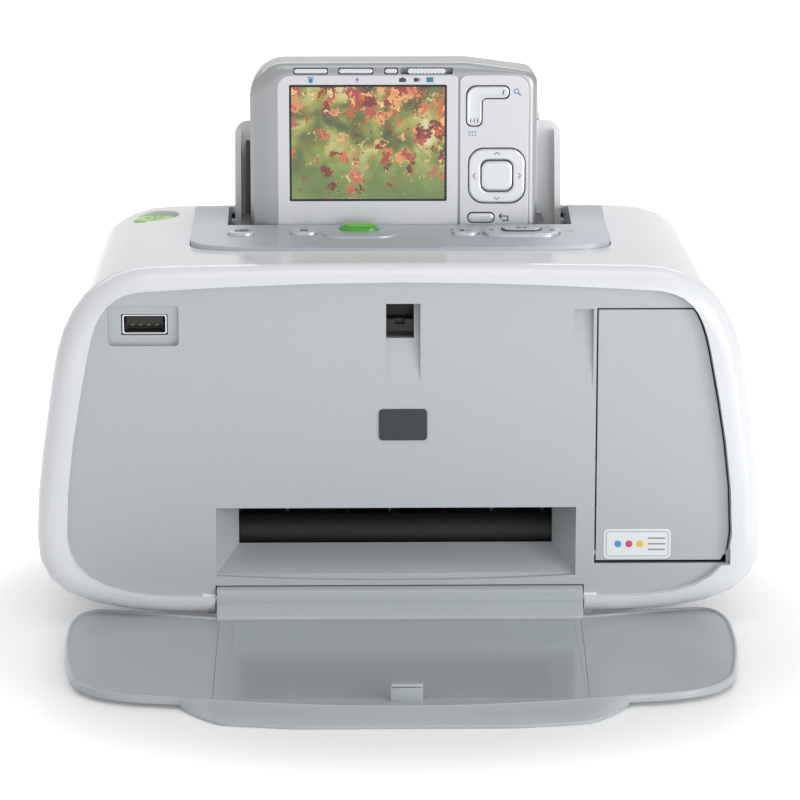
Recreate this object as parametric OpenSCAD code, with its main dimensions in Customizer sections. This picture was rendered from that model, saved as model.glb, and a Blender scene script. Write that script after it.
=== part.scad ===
// Compact photo printer with a camera standing in its dock and its output tray let down.
// Millimetres. X right, Y away from the viewer, Z up. Working sizes are measured from the
// front plane of the white rim; the finished model is moved so that its footprint is centred.

/* [Case] */
// Widest width of the white case
case_w = 224.8; // [210:0.2:240]
// Depth of the case, front rim to back
case_d = 112; // [110:1:125]
// Height of the case at the middle of its front rim
case_h = 113.3; // [112:0.1:116]
// Rise of the top from front to back, degrees
top_rise = 2.5; // [1.5:0.1:3]
// Wall of the case mouldings
wall = 2.4; // [2:0.1:2.8]
// Height of the seam between upper and lower case
seam_z = 25.5; // [24:0.5:27]
// Height of the case bottom above the table
case_lift = 3; // [2.6:0.1:3.4]
// Rounding of the front edge
front_round = 7; // [6:0.5:8]
// Rounding of the back edge
back_round = 12; // [9:0.5:13]

/* [Front panel] */
// How deep the panel lies behind the rim
recess = 3.2; // [3:0.1:3.8]
// Thickness of the panel
panel_t = 2; // [1.8:0.1:2.4]
// Half the widest width of the opening in the rim
opening_w = 102.6; // [101:0.2:103.2]
// Width of the paper exit
slot_w = 111.3; // [106:0.5:112]
// Sideways place of the paper exit
slot_x = -1.15; // [-2:0.05:0]
// Top of the paper exit
slot_top = 37.2; // [36:0.2:38.5]
// Width of the catch notch for the tray
notch_w = 10.4; // [9.8:0.1:11]
// Thickness of the bare badge plate
badge_t = 0.6; // [0.4:0.1:0.8]

/* [Output tray] */
// Reach of the tray in front of the rim
tray_reach = 106; // [103:0.5:107]
// Thickness of the tray plate
tray_t = 2.1; // [1.9:0.1:2.3]
// Height of the top of the tray plate
tray_z = 3.2; // [3:0.05:3.3]
// Height of the hinge of the tray
hinge_z = 8; // [7.9:0.1:8.3]
// Distance of the tray's hinge behind the rim plane
hinge_y = 4; // [3.9:0.1:4.2]
// Radius of the neck round the hinge
neck_r = 4.2; // [4:0.1:4.3]
// Length of the neck
neck_w = 113.6; // [110:0.2:114]
// Radius of the tray's hinge pins
tray_pin_r = 1.3; // [1.1:0.05:1.4]
// Width of the latch tab on the tray
tab_w = 9.2; // [8.6:0.1:9.4]

/* [Ink door] */
// Left edge of the ink door
door_left = 60.8; // [60.4:0.2:62]
// Bottom of the ink door
door_bottom = 20.2; // [20:0.1:21]
// Top of the ink door
door_top = 99.2; // [97:0.2:99.6]
// Thickness of the ink door
door_t = 2.4; // [2:0.1:2.6]
// Radius of the ink door's pins
door_pin_r = 1; // [0.8:0.05:1.05]

/* [Console] */
// Half width of the control console
console_w = 66; // [65:0.1:66.4]
// Front of the console behind the rim
console_y = 24.2; // [23:0.2:26]
// Slope of the control face, degrees
console_slope = 4.2; // [3.5:0.1:4.6]
// Height of the console's shoulders over the control face
shoulder_rise = 3.2; // [2.5:0.1:3.6]
// Height of the push buttons above the console
button_h = 1.1; // [0.9:0.1:1.4]
// Radius of the power button
power_r = 6.5; // [6:0.1:6.8]

/* [Dock and camera] */
// Width of the camera
camera_w = 91.6; // [88:0.2:92]
// Height of the camera
camera_h = 60.7; // [58:0.1:62]
// Thickness of the camera without its lens
camera_t = 24; // [21:0.2:24.2]
// Front of the camera behind the rim
camera_y = 57; // [56.8:0.1:57.4]
// Depth that the camera stands in the dock
dock_depth = 9; // [8:0.5:10]
// Radius of the lens barrel
lens_r = 19; // [16:0.5:20]
// Width of the camera's screen
screen_w = 49.9; // [47:0.1:50.4]
// Height of the camera's screen
screen_h = 37; // [35:0.1:37.6]

/* [Input tray] */
// Width of the input tray
feeder_w = 107.2; // [105:0.2:107.4]
// Height of the input tray above its pivot
feeder_h = 34; // [30:0.5:36]
// Backward lean of the input tray, degrees
feeder_lean = 12; // [10:0.5:13]
// Wall of the input tray
feeder_t = 2; // [1.6:0.1:2.2]

/* [Mechanism] */
// Tooth module of the drive gears
gear_m = 0.8; // [0.78:0.01:0.81]
// Teeth of the feed gear
feed_teeth = 36; // [34:1:37]
// Teeth of the output roller's gear
exit_teeth = 24; // [22:1:25]
// Teeth of the gear between them
idler_teeth = 18; // [17:1:19]
// Teeth of the feed motor's pinion
pinion_teeth = 12; // [11:1:13]
// Radius of the feed roller
feed_r = 6; // [5.5:0.1:6.2]
// Radius of the output roller
exit_r = 5; // [4.5:0.1:5.2]
// Radius of the roller shafts
shaft_r = 2.5; // [2:0.1:2.8]
// Radius of the carriage's guide rod
rod_r = 3; // [2.5:0.1:3.2]
// Radius of the belt pulleys at the belt
pulley_r = 5; // [4.5:0.1:5.2]
// Width of the ink carriage
carriage_w = 34; // [32:0.2:34]
// Clearance of turning shafts
run_gap = 0.05; // [0.03:0.01:0.08]
// Clearance between parts that slide or swing
slide_gap = 0.3; // [0.25:0.05:0.35]

/* [Hidden] */
$fn = 48;
eps = 0.01;
centre_y = (tray_reach - case_d) / 2;
half_w = case_w / 2;
panel_y = recess;
panel_back = panel_y + panel_t;
// Case outline: where each stretch of the half outline ends
side_z = 28;
shoulder_x = half_w - 5.9;
shoulder_z = 79;
top_x = 74;
top_z = case_h - 0.9;
bottom_x = 50;
// Opening outline
opening_bottom = 9.3;
opening_top = case_h - 5;
rear_w = case_w - 60.8;
rear_h = case_h - 45.3;
rear_z = 55;
flange = 2;
// Tray
rim_gap = 0.3;
border_z = hinge_z - hinge_y - rim_gap;
front_r = 222;
front_y = tray_reach - 11.9;
tab_top = 8.3;
tab_y = front_y - 5.8;
tab_d = 4;
tray_side = opening_w - 0.8;
// Ink door
door_axis_y = panel_y + 1.2;
door_axis_z = door_bottom + 2.2;
door_gap = 0.5;
door_relief = 4.3;
// Console
console_z = case_h + 1.7;
ridge_y = 56;
bay_x = 0.8;
bay_w = 55;
console_back = case_d - 14;
console_base = console_z - 8;
// Camera
camera_x = -1;
camera_z = console_z + tan(console_slope) * (ridge_y - console_y) - dock_depth;
camera_split = camera_y + 6;
camera_top = camera_z + camera_h;
camera_left = camera_x - camera_w / 2;
camera_right = camera_x + camera_w / 2;
// Input tray
feeder_y = case_d - 18;
feeder_z = console_z - 3;
// Drive line
drive_z = 26;
feed_y = 60;
idler_y = feed_y - gear_m * (feed_teeth + idler_teeth) / 2;
exit_y = idler_y - gear_m * (idler_teeth + exit_teeth) / 2;
feed_step = 360 / feed_teeth;
pinion_a = 180 - round(150 / feed_step) * feed_step;
pinion_d = gear_m * (feed_teeth + pinion_teeth) / 2;
pinion_y = feed_y + pinion_d * cos(pinion_a);
pinion_z = drive_z + pinion_d * sin(pinion_a);
left_plate = -91;
right_plate = 102;
plate_t = 1.5;
gear_x = left_plate - plate_t - 5;
gear_t = 4;
rod_y = feed_y + 6;
rod_z = 60;
pulley_y = case_d - 28;
belt_z = 72;
belt_h = 4;
motor_x = 90;
tension_x = -80;
pick_y = case_d - 18;
pick_z = 62;
pick_r = 8;
park_x = 81;
base_z = 10;
chassis_back = case_d - 8;

// ---- outlines -------------------------------------------------------------------------

function bez(a, b, c, d, n) = [for (i = [1:n]) let (t = i / n, u = 1 - t)
    u * u * u * a + 3 * u * u * t * b + 3 * u * t * t * c + t * t * t * d];

// Right half of a rim outline in X and Z, from the bottom middle to the top middle
function half_outline(bx, bz, sx, sz, kx, kz, tx, tz, crown, lean, full_b, full_t) = concat(
    [[0, bz], [bx, bz]],
    bez([bx, bz], [bx + full_b * (sx - bx), bz], [sx, sz - full_b * (sz - bz)], [sx, sz], 7),
    bez([sx, sz], [sx, sz + (kz - sz) / 3], [kx + lean * (kz - sz) / 3, kz - (kz - sz) / 3],
        [kx, kz], 4),
    bez([kx, kz], [kx - lean * full_t * (tz - kz), kz + full_t * (tz - kz)],
        [tx + full_t * (kx - tx), tz], [tx, tz], 8),
    bez([tx, tz], [tx * 0.67, tz + 0.6 * (crown - tz)], [tx * 0.33, crown], [0, crown], 3));

function mirrored(h) = concat(h, [for (i = [len(h) - 2:-1:1]) [-h[i][0], h[i][1]]]);

function unit(v) = v / norm(v);

// Outline moved inwards by d; the outline runs anticlockwise
function inset(p, d) = [for (i = [0:len(p) - 1]) let (
    n = len(p), t = unit(p[(i + 1) % n] - p[(i + n - 1) % n])) p[i] + d * [-t[1], t[0]]];

case_line = mirrored(half_outline(bottom_x, case_lift, half_w, side_z, shoulder_x, shoulder_z,
    top_x, top_z, case_h, 0.14, 0.78, 0.6));
opening_line = mirrored(half_outline(68, opening_bottom, opening_w, 29, opening_w - 7.4, 86,
    74.5, opening_top - 2.5, opening_top, 0.2, 0.67, 0.68));

// ---- skins ----------------------------------------------------------------------------

// One ring of the case skin at depth y, drawn in by d
function ring(y, d) = [for (p = inset(case_line, d))
    [p[0], y, p[1] + tan(top_rise) * y * (p[1] - case_lift) / (case_h - case_lift)]];

// Rings of a skin from y0 to y1, drawn in by d, with rounded front and back edges
function rings(y0, y1, d, r0, r1) = concat(
    [for (a = [0:18:90]) ring(y0 + r0 * (1 - cos(a)), d + r0 * (1 - sin(a)))],
    [for (a = [90:-18:0]) ring(y1 - r1 * (1 - cos(a)), d + r1 * (1 - sin(a)))]);

module skin(y0, y1, d, r0, r1) {
    s = rings(y0, y1, d, r0, r1);
    n = len(s[0]);
    m = len(s);
    side = [for (k = [0:m - 2], i = [0:n - 1]) let (j = (i + 1) % n)
        each [[k * n + i, k * n + j, (k + 1) * n + j], [k * n + i, (k + 1) * n + j, (k + 1) * n + i]]];
    front = [[for (i = [n - 1:-1:0]) i]];
    back = [[for (i = [0:n - 1]) (m - 1) * n + i]];
    polyhedron([for (r = s) each r], concat(side, front, back), convexity = 6);
}

module outer_skin() skin(0, case_d, 0, front_round, back_round);
module inner_skin() skin(recess, case_d - wall, wall, front_round - wall, back_round - wall);

// ---- small helpers --------------------------------------------------------------------

module at_home() translate([0, centre_y, 0]) children();

// Extrude a shape drawn in X and Z along Y
module along_y(y0, y1) translate([0, y1, 0]) rotate([90, 0, 0]) linear_extrude(y1 - y0) children();

// Extrude a shape drawn in Y and Z along X
module along_x(x0, x1) translate([x0, 0, 0]) rotate([90, 0, 90]) linear_extrude(x1 - x0) children();

module box(a, b) translate(a) cube(b - a);

// Cylinder lying along X
module axle(y, z, r, x0, x1) translate([x0, y, z]) rotate([0, 90, 0]) cylinder(r = r, h = x1 - x0);

// Cylinder lying along Y
module plug(x, z, r, y0, y1) translate([x, y0, z]) rotate([-90, 0, 0]) cylinder(r = r, h = y1 - y0);

// Rectangle with round corners, centred
module round_rect(w, h, r) {
    square([w - 2 * r, h], center = true);
    square([w, h - 2 * r], center = true);
    for (x = [-1, 1], y = [-1, 1]) translate([x * (w / 2 - r), y * (h / 2 - r)]) circle(r);
}

function dir(a) = [cos(a), sin(a)];

// Straight-sided gear lying along X, with a tooth (or else a gap) centred at angle a
module gear(y, z, teeth, x0, t, bore, a, tooth) {
    r = gear_m * teeth / 2;
    step = 360 / teeth;
    start = a + (tooth ? 0 : step / 2);
    difference() {
        along_x(x0, x0 + t) translate([y, z]) polygon([for (i = [0:teeth - 1]) each [
            (r - 1.15 * gear_m) * dir(start + (i - 0.24) * step),
            (r + 0.85 * gear_m) * dir(start + (i - 0.11) * step),
            (r + 0.85 * gear_m) * dir(start + (i + 0.11) * step),
            (r - 1.15 * gear_m) * dir(start + (i + 0.24) * step)]]);
        axle(y, z, bore, x0 - 1, x0 + t + 1);
    }
}

// ---- case -----------------------------------------------------------------------------

// Everything that is cut out of the case shell
module case_openings() {
    along_y(-1, recess + eps) polygon(opening_line);
    along_y(recess, panel_back + 0.2) polygon(inset(opening_line, -flange - 0.15));
    translate([0, 0, seam_z + 10]) linear_extrude(case_h) offset_console(slide_gap);
    along_y(case_d - wall - 5, case_d + 1) translate([0, rear_z])
        round_rect(rear_w + 2 * slide_gap, rear_h + 2 * slide_gap, 8);
}

// Plan of the console, grown by d
module offset_console(d) {
    translate([bay_x, 0]) polygon(inset(console_line, -d));
}
console_line = mirrored(concat([[0, console_y]],
    bez([0, console_y], [25, console_y], [45, console_y + 0.6], [52, console_y + 2], 4),
    bez([52, console_y + 2], [61, console_y + 4], [console_w, console_y + 6],
        [console_w, console_y + 14], 6),
    [[console_w, console_back], [0, console_back]]));

module upper_case() at_home() color("white") difference() {
    intersection() {
        outer_skin();
        box([-200, -10, seam_z], [200, 200, 200]);
    }
    inner_skin();
    case_openings();
    translate([power_x, power_y, 80]) cylinder(r = power_r + slide_gap, h = 60);
    translate([power_x, power_y, power_z]) cylinder(r = power_r + 1.7, h = 60);
}
power_x = -79.2;
power_y = case_d - 26;
power_z = case_h + 1.2;

module lower_case() at_home() color("white") {
    difference() {
        intersection() {
            outer_skin();
            box([-200, -10, -5], [200, 200, seam_z]);
        }
        inner_skin();
        case_openings();
        // slot under the ink door, where its corner swings past the rim
        box([opening_w - 12, -1, door_bottom - 1], [opening_w - 0.3, recess + 0.2, door_bottom + door_relief]);
        // room for the tray's neck
        axle(hinge_y, hinge_z, neck_r + 0.5, -neck_w / 2 - 0.4, neck_w / 2 + 0.4);
        box([-neck_w / 2 - 0.4, -1, -1], [neck_w / 2 + 0.4, hinge_y + neck_r + 0.5, hinge_z]);
        for (p = foot_places) translate([p[0], p[1], -1]) cylinder(r = foot_r + 0.2, h = foot_h + 1);
        for (p = screw_places) translate([p[0], p[1], -1]) {
            cylinder(r = 1.7, h = 30);
            cylinder(r = 3.2, h = 6);
        }
        for (x = [-1, 1]) axle(hinge_y, hinge_z, tray_pin_r + run_gap, x * (neck_w / 2 + 3) - 3.5,
            x * (neck_w / 2 + 3) + 3.5);
    }
    // trough behind the neck
    difference() {
        intersection() {
            axle(hinge_y, hinge_z, neck_r + 2, -neck_w / 2 - 3, neck_w / 2 + 3);
            box([-100, panel_back + 0.2, case_lift], [100, 30, hinge_z + 4]);
        }
        axle(hinge_y, hinge_z, neck_r + 0.5, -neck_w / 2 - 0.4, neck_w / 2 + 0.4);
        for (x = [-1, 1]) axle(hinge_y, hinge_z, tray_pin_r + run_gap, x * (neck_w / 2 + 3) - 3.5,
            x * (neck_w / 2 + 3) + 3.5);
    }
    // ears that hold the tray's pins
    for (x = [-1, 1]) difference() {
        axle(hinge_y, hinge_z, tray_pin_r + 0.8, x * (neck_w / 2 + 2.4) - 2, x * (neck_w / 2 + 2.4) + 2);
        axle(hinge_y, hinge_z, tray_pin_r + run_gap, x * (neck_w / 2 + 3) - 3.5,
            x * (neck_w / 2 + 3) + 3.5);
        box([-100, panel_y - 0.02, opening_bottom - 3], [100, 20, 20]);
    }
    // seats for the feet and posts for the screws
    for (p = foot_places) translate([p[0], p[1], foot_h]) cylinder(r = foot_r + 2, h = 4.5);
    for (p = screw_places) translate([p[0], p[1], 3.4]) difference() {
        cylinder(r = 4, h = base_z - 3.4);
        translate([0, 0, -1]) cylinder(r = 1.7, h = 30);
        translate([0, 0, -1]) cylinder(r = 3.2, h = 2.6);
    }
}
foot_r = 6;
foot_h = 2.2;
foot_places = [for (x = [-68, 68], y = [26, case_d - 16]) [x, y]];
screw_places = [for (x = [-40, 40], y = [36, case_d - 14]) [x, y]];

module rubber_feet() at_home() color("dimgray") for (p = foot_places)
    translate([p[0], p[1], 0]) {
        cylinder(r = foot_r, h = foot_h - 0.6);
        translate([0, 0, foot_h - 0.6]) cylinder(r = foot_r - 0.8, h = 0.6);
    }

module case_screws() at_home() color("silver") for (p = screw_places)
    translate([p[0], p[1], 3.2]) difference() {
        union() {
            cylinder(r = 2.8, h = 1.8);
            cylinder(r = 1.5, h = base_z + plate_t + 1 - 3.2);
        }
        for (a = [0, 90]) rotate([0, 0, a]) translate([-1.8, -0.4, -1]) cube([3.6, 0.8, 2]);
    }

module rear_panel() at_home() color("silver") difference() {
    union() {
        along_y(case_d - wall - 2, case_d - wall) translate([0, rear_z]) round_rect(rear_w + 6, rear_h + 6, 10);
        along_y(case_d - wall, case_d - 0.6) translate([0, rear_z]) round_rect(rear_w, rear_h, 8);
    }
    along_y(case_d - 20, case_d + 1) translate([usb_b_x, socket_z]) round_rect(12.4, 11.4, 0.2);
    along_y(case_d - 20, case_d + 1) translate([power_in_x, socket_z]) round_rect(15.4, 9.4, 0.2);
    for (i = [-5:5]) along_y(case_d - 20, case_d + 1) translate([i * 7, rear_z + 16])
        round_rect(2.4, 20, 1.1);
}
usb_b_x = -60;
power_in_x = 58;
socket_z = rear_z - 23;

// ---- front panel ----------------------------------------------------------------------

// Outline of the ink door, drawn in by d
module door_outline(d) intersection() {
    polygon(inset(opening_line, 0.6 + d));
    translate([door_left + d, door_bottom + d]) square([60, door_top - door_bottom - 2 * d]);
}

// Lower edge of the paper exit: it sags by 1.6 mm in the middle
module slot_outline() {
    w = slot_w / 2;
    polygon(concat([for (i = [-6:6]) [slot_x + i * w / 6, slot_low + 1.6 * pow(i / 6, 2)]],
        [[slot_x + w, slot_top], [slot_x - w, slot_top]]));
}
slot_low = 14;
ramp_back = exit_y - exit_r - 1;
ramp_top = 23;
throat_w = 98;

module front_panel() at_home() color("lightgray") {
    difference() {
        union() {
            along_y(panel_y, panel_back) polygon(inset(opening_line, -flange));
            // pads behind the finger scoop and the catch notch
            along_y(panel_back - eps, panel_y + 4.6) translate([(52 + door_left - 1) / 2, door_top - 11])
                square([door_left - 0.8 - 52, 26], center = true);
            along_y(panel_back - eps, panel_y + 8) translate([notch_x, notch_top - 12.2])
                square([notch_w + 5, 28], center = true);
            along_y(panel_back - eps, panel_y + 3.6) translate([port_x - 0.35, port_z - 0.15])
                round_rect(24, 14.8, 2);
            // bearings of the ink door
            for (x = [door_left - 3, opening_w - 1.2]) intersection() {
                axle(door_axis_y, door_axis_z, door_pin_r + 1.2, x, x + 2.2);
                box([-200, panel_y, -10], [200, 50, 200]);
            }
        }
        along_y(-1, panel_back + eps) slot_outline();
        axle(hinge_y, hinge_z, neck_r + 0.4, -neck_w / 2 - 0.4, neck_w / 2 + 0.4);
        box([-neck_w / 2 - 0.4, 0, 0], [neck_w / 2 + 0.4, 30, hinge_z + neck_r + 0.2]);
        for (x = [-1, 1]) axle(hinge_y, hinge_z, tray_pin_r + run_gap, x * (neck_w / 2 + 2.4) - 4.2,
            x * (neck_w / 2 + 2.4) + 4.2);
        // room for the ink door, with a little more below it to swing
        along_y(-1, 20) door_outline(-door_gap);
        along_y(-1, 20) translate([door_left - door_gap, door_bottom - 1])
            square([opening_w - 1.3 - door_left + door_gap, 10]);
        for (x = [door_left - 3, opening_w - 1.2]) axle(door_axis_y, door_axis_z,
            door_pin_r + run_gap, x - 2, x + 4);
        // finger scoop beside the ink door
        scoop_cut(53.4, door_left - 1.5, door_top - 25, door_top + 0.2, 3);
        // catch notch
        scoop_cut(notch_x - notch_w / 2, notch_x + notch_w / 2, notch_top - 24.2, notch_top, 6);
        along_y(-1, 20) translate([-4.2, notch_top - 11.2]) square([8.6, 11.2]);
        // recess and port of the front socket
        intersection() {
            along_y(-1, 20) translate([port_x - 0.35, port_z - 0.15]) round_rect(21.7, 12.5, 1.2);
            along_x(port_x - 20, port_x + 20) polygon([[-1, port_z - 8], [panel_y + 2.3, port_z - 8],
                [panel_y + 0.9, port_z + 8], [-1, port_z + 8]]);
        }
        along_y(-1, 20) translate([port_x, port_z]) square([port_w, port_h], center = true);
    }
    // ramp and cheeks of the paper exit
    difference() {
        union() {
            along_x(slot_x - slot_w / 2 - 1.5, slot_x + slot_w / 2 + 1.5) polygon([
                [panel_back - eps, slot_low - 0.6], [panel_back - eps, slot_low + 1.8],
                [ramp_back, ramp_top], [ramp_back, ramp_top - 1.6]]);
            for (k = [-1, 1]) translate([slot_x, 0, ramp_top - 9]) linear_extrude(slot_top - ramp_top + 10.5)
                polygon([[k * slot_w / 2, panel_back - eps], [k * (slot_w / 2 + 1.5), panel_back - eps],
                    [k * (throat_w / 2 + 1.5), ramp_back], [k * throat_w / 2, ramp_back]]);
        }
        difference() {
            box([-100, 0, 0], [100, 60, 60]);
            along_x(-100, 100) polygon([[0, 60], [0, slot_low - 3], [panel_back, slot_low - 0.6],
                [ramp_back + 1, ramp_top - 1.1], [ramp_back + 1, 60]]);
        }
    }
}
notch_x = 1.1;
// top of the notch, just over the latch tab of the closed tray
notch_top = hinge_z + hinge_y + tab_y + 0.9;
port_x = -78;
port_z = case_h - 18.6;
port_w = 14.2;
port_h = 6.6;

// Wedge that runs from flush at z0 to full depth at z1
module scoop_cut(x0, x1, z0, z1, depth) along_x(x0, x1) polygon([
    [panel_y - 1, z0 - 1], [panel_y, z0], [panel_y + depth, z1], [panel_y - 1, z1]]);

module latch_catch() at_home() color("black") difference() {
    union() {
        box([-4.1, panel_y + 5.2, notch_top - 9.6], [4.3, panel_y + 8.5, notch_top - 5.6]);
        box([-6.2, panel_y + 8, notch_top - 13], [6.4, panel_y + 12, notch_top - 5.6]);
        box([-6.2, panel_y + 11, notch_top - 6], [6.4, panel_y + 12, notch_top + 2]);
    }
    box([-1.5, 0, notch_top - 7.2], [1.5, panel_y + 7, notch_top]);
}

module badge_plate() at_home() color("slategray")
    along_y(panel_y - badge_t, panel_y) translate([1, 63.5]) round_rect(14.8, 9.8, 1.2);

module front_usb_socket() at_home() {
    color("silver") difference() {
        along_y(panel_y + 2.2, 13) translate([port_x, port_z]) square([13.6, 6], center = true);
        along_y(0, 12) translate([port_x, port_z]) square([12.9, 5.3], center = true);
    }
    color("black") along_y(panel_y + 3, 12 + eps) translate([port_x, port_z + 0.9])
        square([11, 1.8], center = true);
}

// ---- output tray ----------------------------------------------------------------------

// Half of the tray's plan, from the front middle round the wing to the back
tray_half = concat(
    [for (x = [0:12:72]) [x, -front_y + x * x / (2 * front_r)]],
    bez([72, -front_y + 11.7], [88, -front_y + 13.6], [95.5, -front_y + 18.1],
        [97.9, -front_y + 37.1], 7),
    bez([97.9, -front_y + 37.1], [100.5, -42], [tray_side, -28], [tray_side, -12], 4),
    bez([tray_side, -12], [tray_side, 1], [tray_side - 2.8, 8.5], [93, 8.5], 6),
    bez([93, 8.5], [85, 7.6], [70, 2.6], [neck_w / 2 + 1, -0.6], 6),
    [[neck_w / 2 - 2, -0.6], [neck_w / 2 - 2, 1], [0, 1]]);
tray_line = mirrored(tray_half);
lip_r = front_r + tray_reach - front_y;
window_l = -56;
window_r = 54;
window_y = 8.1 - front_y;

module tray_window(d) polygon([[window_l - d, -3.2 + d], [window_l + 1.2 - d, window_y - d],
    [window_r - 1.4 + d, window_y - d], [window_r + 2 + d, -3.2 + d]]);

module output_tray() at_home() color("silver") {
    difference() {
        union() {
            translate([0, 0, tray_z - tray_t]) linear_extrude(tray_t) polygon(tray_line);
            // raised border round the outer edge
            translate([0, 0, tray_z - 0.5]) linear_extrude(border_z - tray_z + 0.5) difference() {
                polygon(tray_line);
                polygon(inset(tray_line, 1.8));
                translate([-neck_w / 2 - 1, -3]) square([neck_w + 2, 20]);
            }
            // neck round the hinge
            intersection() {
                axle(hinge_y, hinge_z, neck_r, -neck_w / 2, neck_w / 2);
                box([-200, -20, 0], [200, hinge_y + 1.2, 40]);
            }
            along_x(-neck_w / 2, neck_w / 2) polygon([[hinge_y - neck_r, hinge_z - 0.3],
                [-0.5, hinge_z - 1.4], [-2.9, tray_z + 1], [-4.8, tray_z], [-4.8, tray_z - tray_t],
                [2.6, tray_z - tray_t], [hinge_y, hinge_z - neck_r + 0.1], [hinge_y, hinge_z]]);
            // lip that slopes to the table in front
            intersection() {
                translate([0, front_r - front_y, 0]) rotate([0, 0, -90]) rotate_extrude($fn = 360)
                    polygon([[front_r - 3, border_z], [front_r, border_z], [lip_r, 0.9], [lip_r, 0],
                        [lip_r - 3, 0], [front_r - 1, tray_z - tray_t], [front_r - 3, tray_z - tray_t]]);
                translate([0, 0, -1]) linear_extrude(10) lip_plan();
            }
        }
        translate([0, 0, -1]) linear_extrude(20) tray_window(0);
        axle(hinge_y, hinge_z, tray_pin_r, -neck_w / 2 - 1, neck_w / 2 + 1);
    }
    // latch tab
    difference() {
        box([0.5 - tab_w / 2, -tab_y, tray_z - 1], [0.5 + tab_w / 2, -tab_y + tab_d, tab_top]);
        box([0.5 - tab_w / 2 + 1, -tab_y + 1.2, tray_z - 2], [0.5 + tab_w / 2 - 1, -tab_y + 8, tab_top - 1]);
        translate([0, 0, -1]) linear_extrude(tray_z + 1.02) tray_window(0);
    }
}

// Plan of the lip, with rounded ends
module lip_plan() polygon(mirrored(concat([[0, -tray_reach - 2], [40, -tray_reach - 2]],
    bez([40, -tray_reach + 2], [55, -tray_reach + 4.5], [60, -tray_reach + 12], [64.5, -tray_reach + 22], 6),
    [[64.5, -tray_reach + 30], [0, -tray_reach + 30]])));

module tray_centre_panel() at_home() color("lightsteelblue")
    translate([0, 0, tray_z - tray_t + 0.2]) linear_extrude(tray_t - 0.2) difference() {
        tray_window(-0.15);
    }

module tray_hinge_pins() at_home() color("silver") for (x = [-1, 1])
    axle(hinge_y, hinge_z, tray_pin_r, x * neck_w / 2 - 4, x * neck_w / 2 + 4);

// ---- ink door -------------------------------------------------------------------------

module ink_door() at_home() color("lightgray") {
    along_y(panel_y, panel_y + door_t) door_outline(0);
    // stiffening ribs and pull edge on the inside
    along_y(panel_y + door_t - eps, panel_y + door_t + 1.2) difference() {
        door_outline(3);
        door_outline(4.4);
    }
    for (x = [[door_left - 2.4, door_left + 4], [opening_w - 6, opening_w + 0.6]])
        axle(door_axis_y, door_axis_z, door_pin_r, x[0], x[1]);
}

module ink_label() at_home() color("white")
    along_y(panel_y - 0.15, panel_y) translate([73.6, 25.4]) round_rect(20.8, 9.4, 1.5);

// ---- console --------------------------------------------------------------------------

function face_z(y) = console_z + tan(console_slope) * (y - console_y);

// Side profile of the console, lowered by d
module console_profile(d) polygon([[console_y - 2, console_base - d - 1],
    [console_y - 2, face_z(console_y - 2) - d], [ridge_y + 2, face_z(ridge_y + 2) - d],
    [ridge_y + 18, face_z(ridge_y + 2) + shoulder_rise - d],
    [console_back + 1, face_z(ridge_y) - 1 - d], [console_back + 1, console_base - d - 1]]);

module pill(x, y, w, h) translate([x, y]) round_rect(w, h, min(w, h) / 2 - 0.05);

fix_at = [-49.5, 43.4, 8, 5.4];
cancel_at = [-29.6, 44, 8, 5.2];
print_at = [-12.2, 47.6, 12, 6.4];
back_at = [21.4, 43.2, 8.2, 5.6];
nav_at = [39.2, 43.6, 24, 11.6];
led_at = [54.6, 46.4, 2.3, 0.9];

module button_hole(b) translate([0, 0, 60]) linear_extrude(80)
    pill(b[0], b[1], b[2] + 2 * slide_gap, b[3] + 2 * slide_gap);

// Column with the console's slope on top, standing h above it
module sloped_button(b, h) intersection() {
    translate([0, 0, console_z - 5]) linear_extrude(30) pill(b[0], b[1], b[2], b[3]);
    along_x(-100, 100) polygon([[0, 90], [100, 90], [100, face_z(100) + h], [0, face_z(0) + h]]);
}

module console() at_home() color("silver") difference() {
    union() {
        difference() {
            intersection() {
                translate([0, 0, console_base]) linear_extrude(30) offset_console(0);
                along_x(-100, 100) console_profile(0);
            }
            intersection() {
                translate([0, 0, console_base - 1]) linear_extrude(30) difference() {
                    offset_console(-wall);
                    translate([bay_x - bay_w - wall, ridge_y - wall]) square([2 * (bay_w + wall), 80]);
                }
                along_x(-100, 100) console_profile(wall);
            }
        }
        sloped_button([print_at[0] + 0.2, 43.4, 23.6, 12.6], 0.6);
    }
    box([bay_x - bay_w, ridge_y, 60], [bay_x + bay_w, 140, 160]);
    for (b = [fix_at, cancel_at, print_at, back_at, nav_at]) button_hole(b);
    nav_pin(0.7 + run_gap, 1.4);
    translate([led_at[0], led_at[1], 60]) linear_extrude(80) square([led_at[2], led_at[3]], center = true);
    for (x = [-1, 1]) axle(feeder_y, feeder_z, 1.5 + run_gap, bay_x + x * (bay_w + 1.5) - 3,
        bay_x + x * (bay_w + 1.5) + 3);
}

module status_led() at_home() color("lime") intersection() {
    translate([led_at[0], led_at[1], console_z - 4]) linear_extrude(20)
        square([led_at[2] - 0.1, led_at[3] - 0.1], center = true);
    along_x(-100, 100) polygon([[0, 90], [100, 90], [100, face_z(100)], [0, face_z(0)]]);
}

module photo_fix_button() at_home() color("silver") sloped_button(fix_at, button_h);
module cancel_button() at_home() color("silver") sloped_button(cancel_at, button_h);
module back_button() at_home() color("silver") sloped_button(back_at, button_h);
module print_button() at_home() color("limegreen") sloped_button(print_at, button_h + 1.1);
nav_pin_z = face_z(nav_at[1]) - 1.4;
module nav_pin(r, reach) plug(nav_at[0], nav_pin_z, r, nav_at[1] - nav_at[3] / 2 - reach,
    nav_at[1] + nav_at[3] / 2 + reach);

module nav_rocker() at_home() {
    color("silver") sloped_button(nav_at, button_h);
    color("silver") nav_pin(0.7, 1);
    color("gray") sloped_button([nav_at[0], nav_at[1] + 0.8, 12, 5], button_h + 0.7);
}

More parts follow.
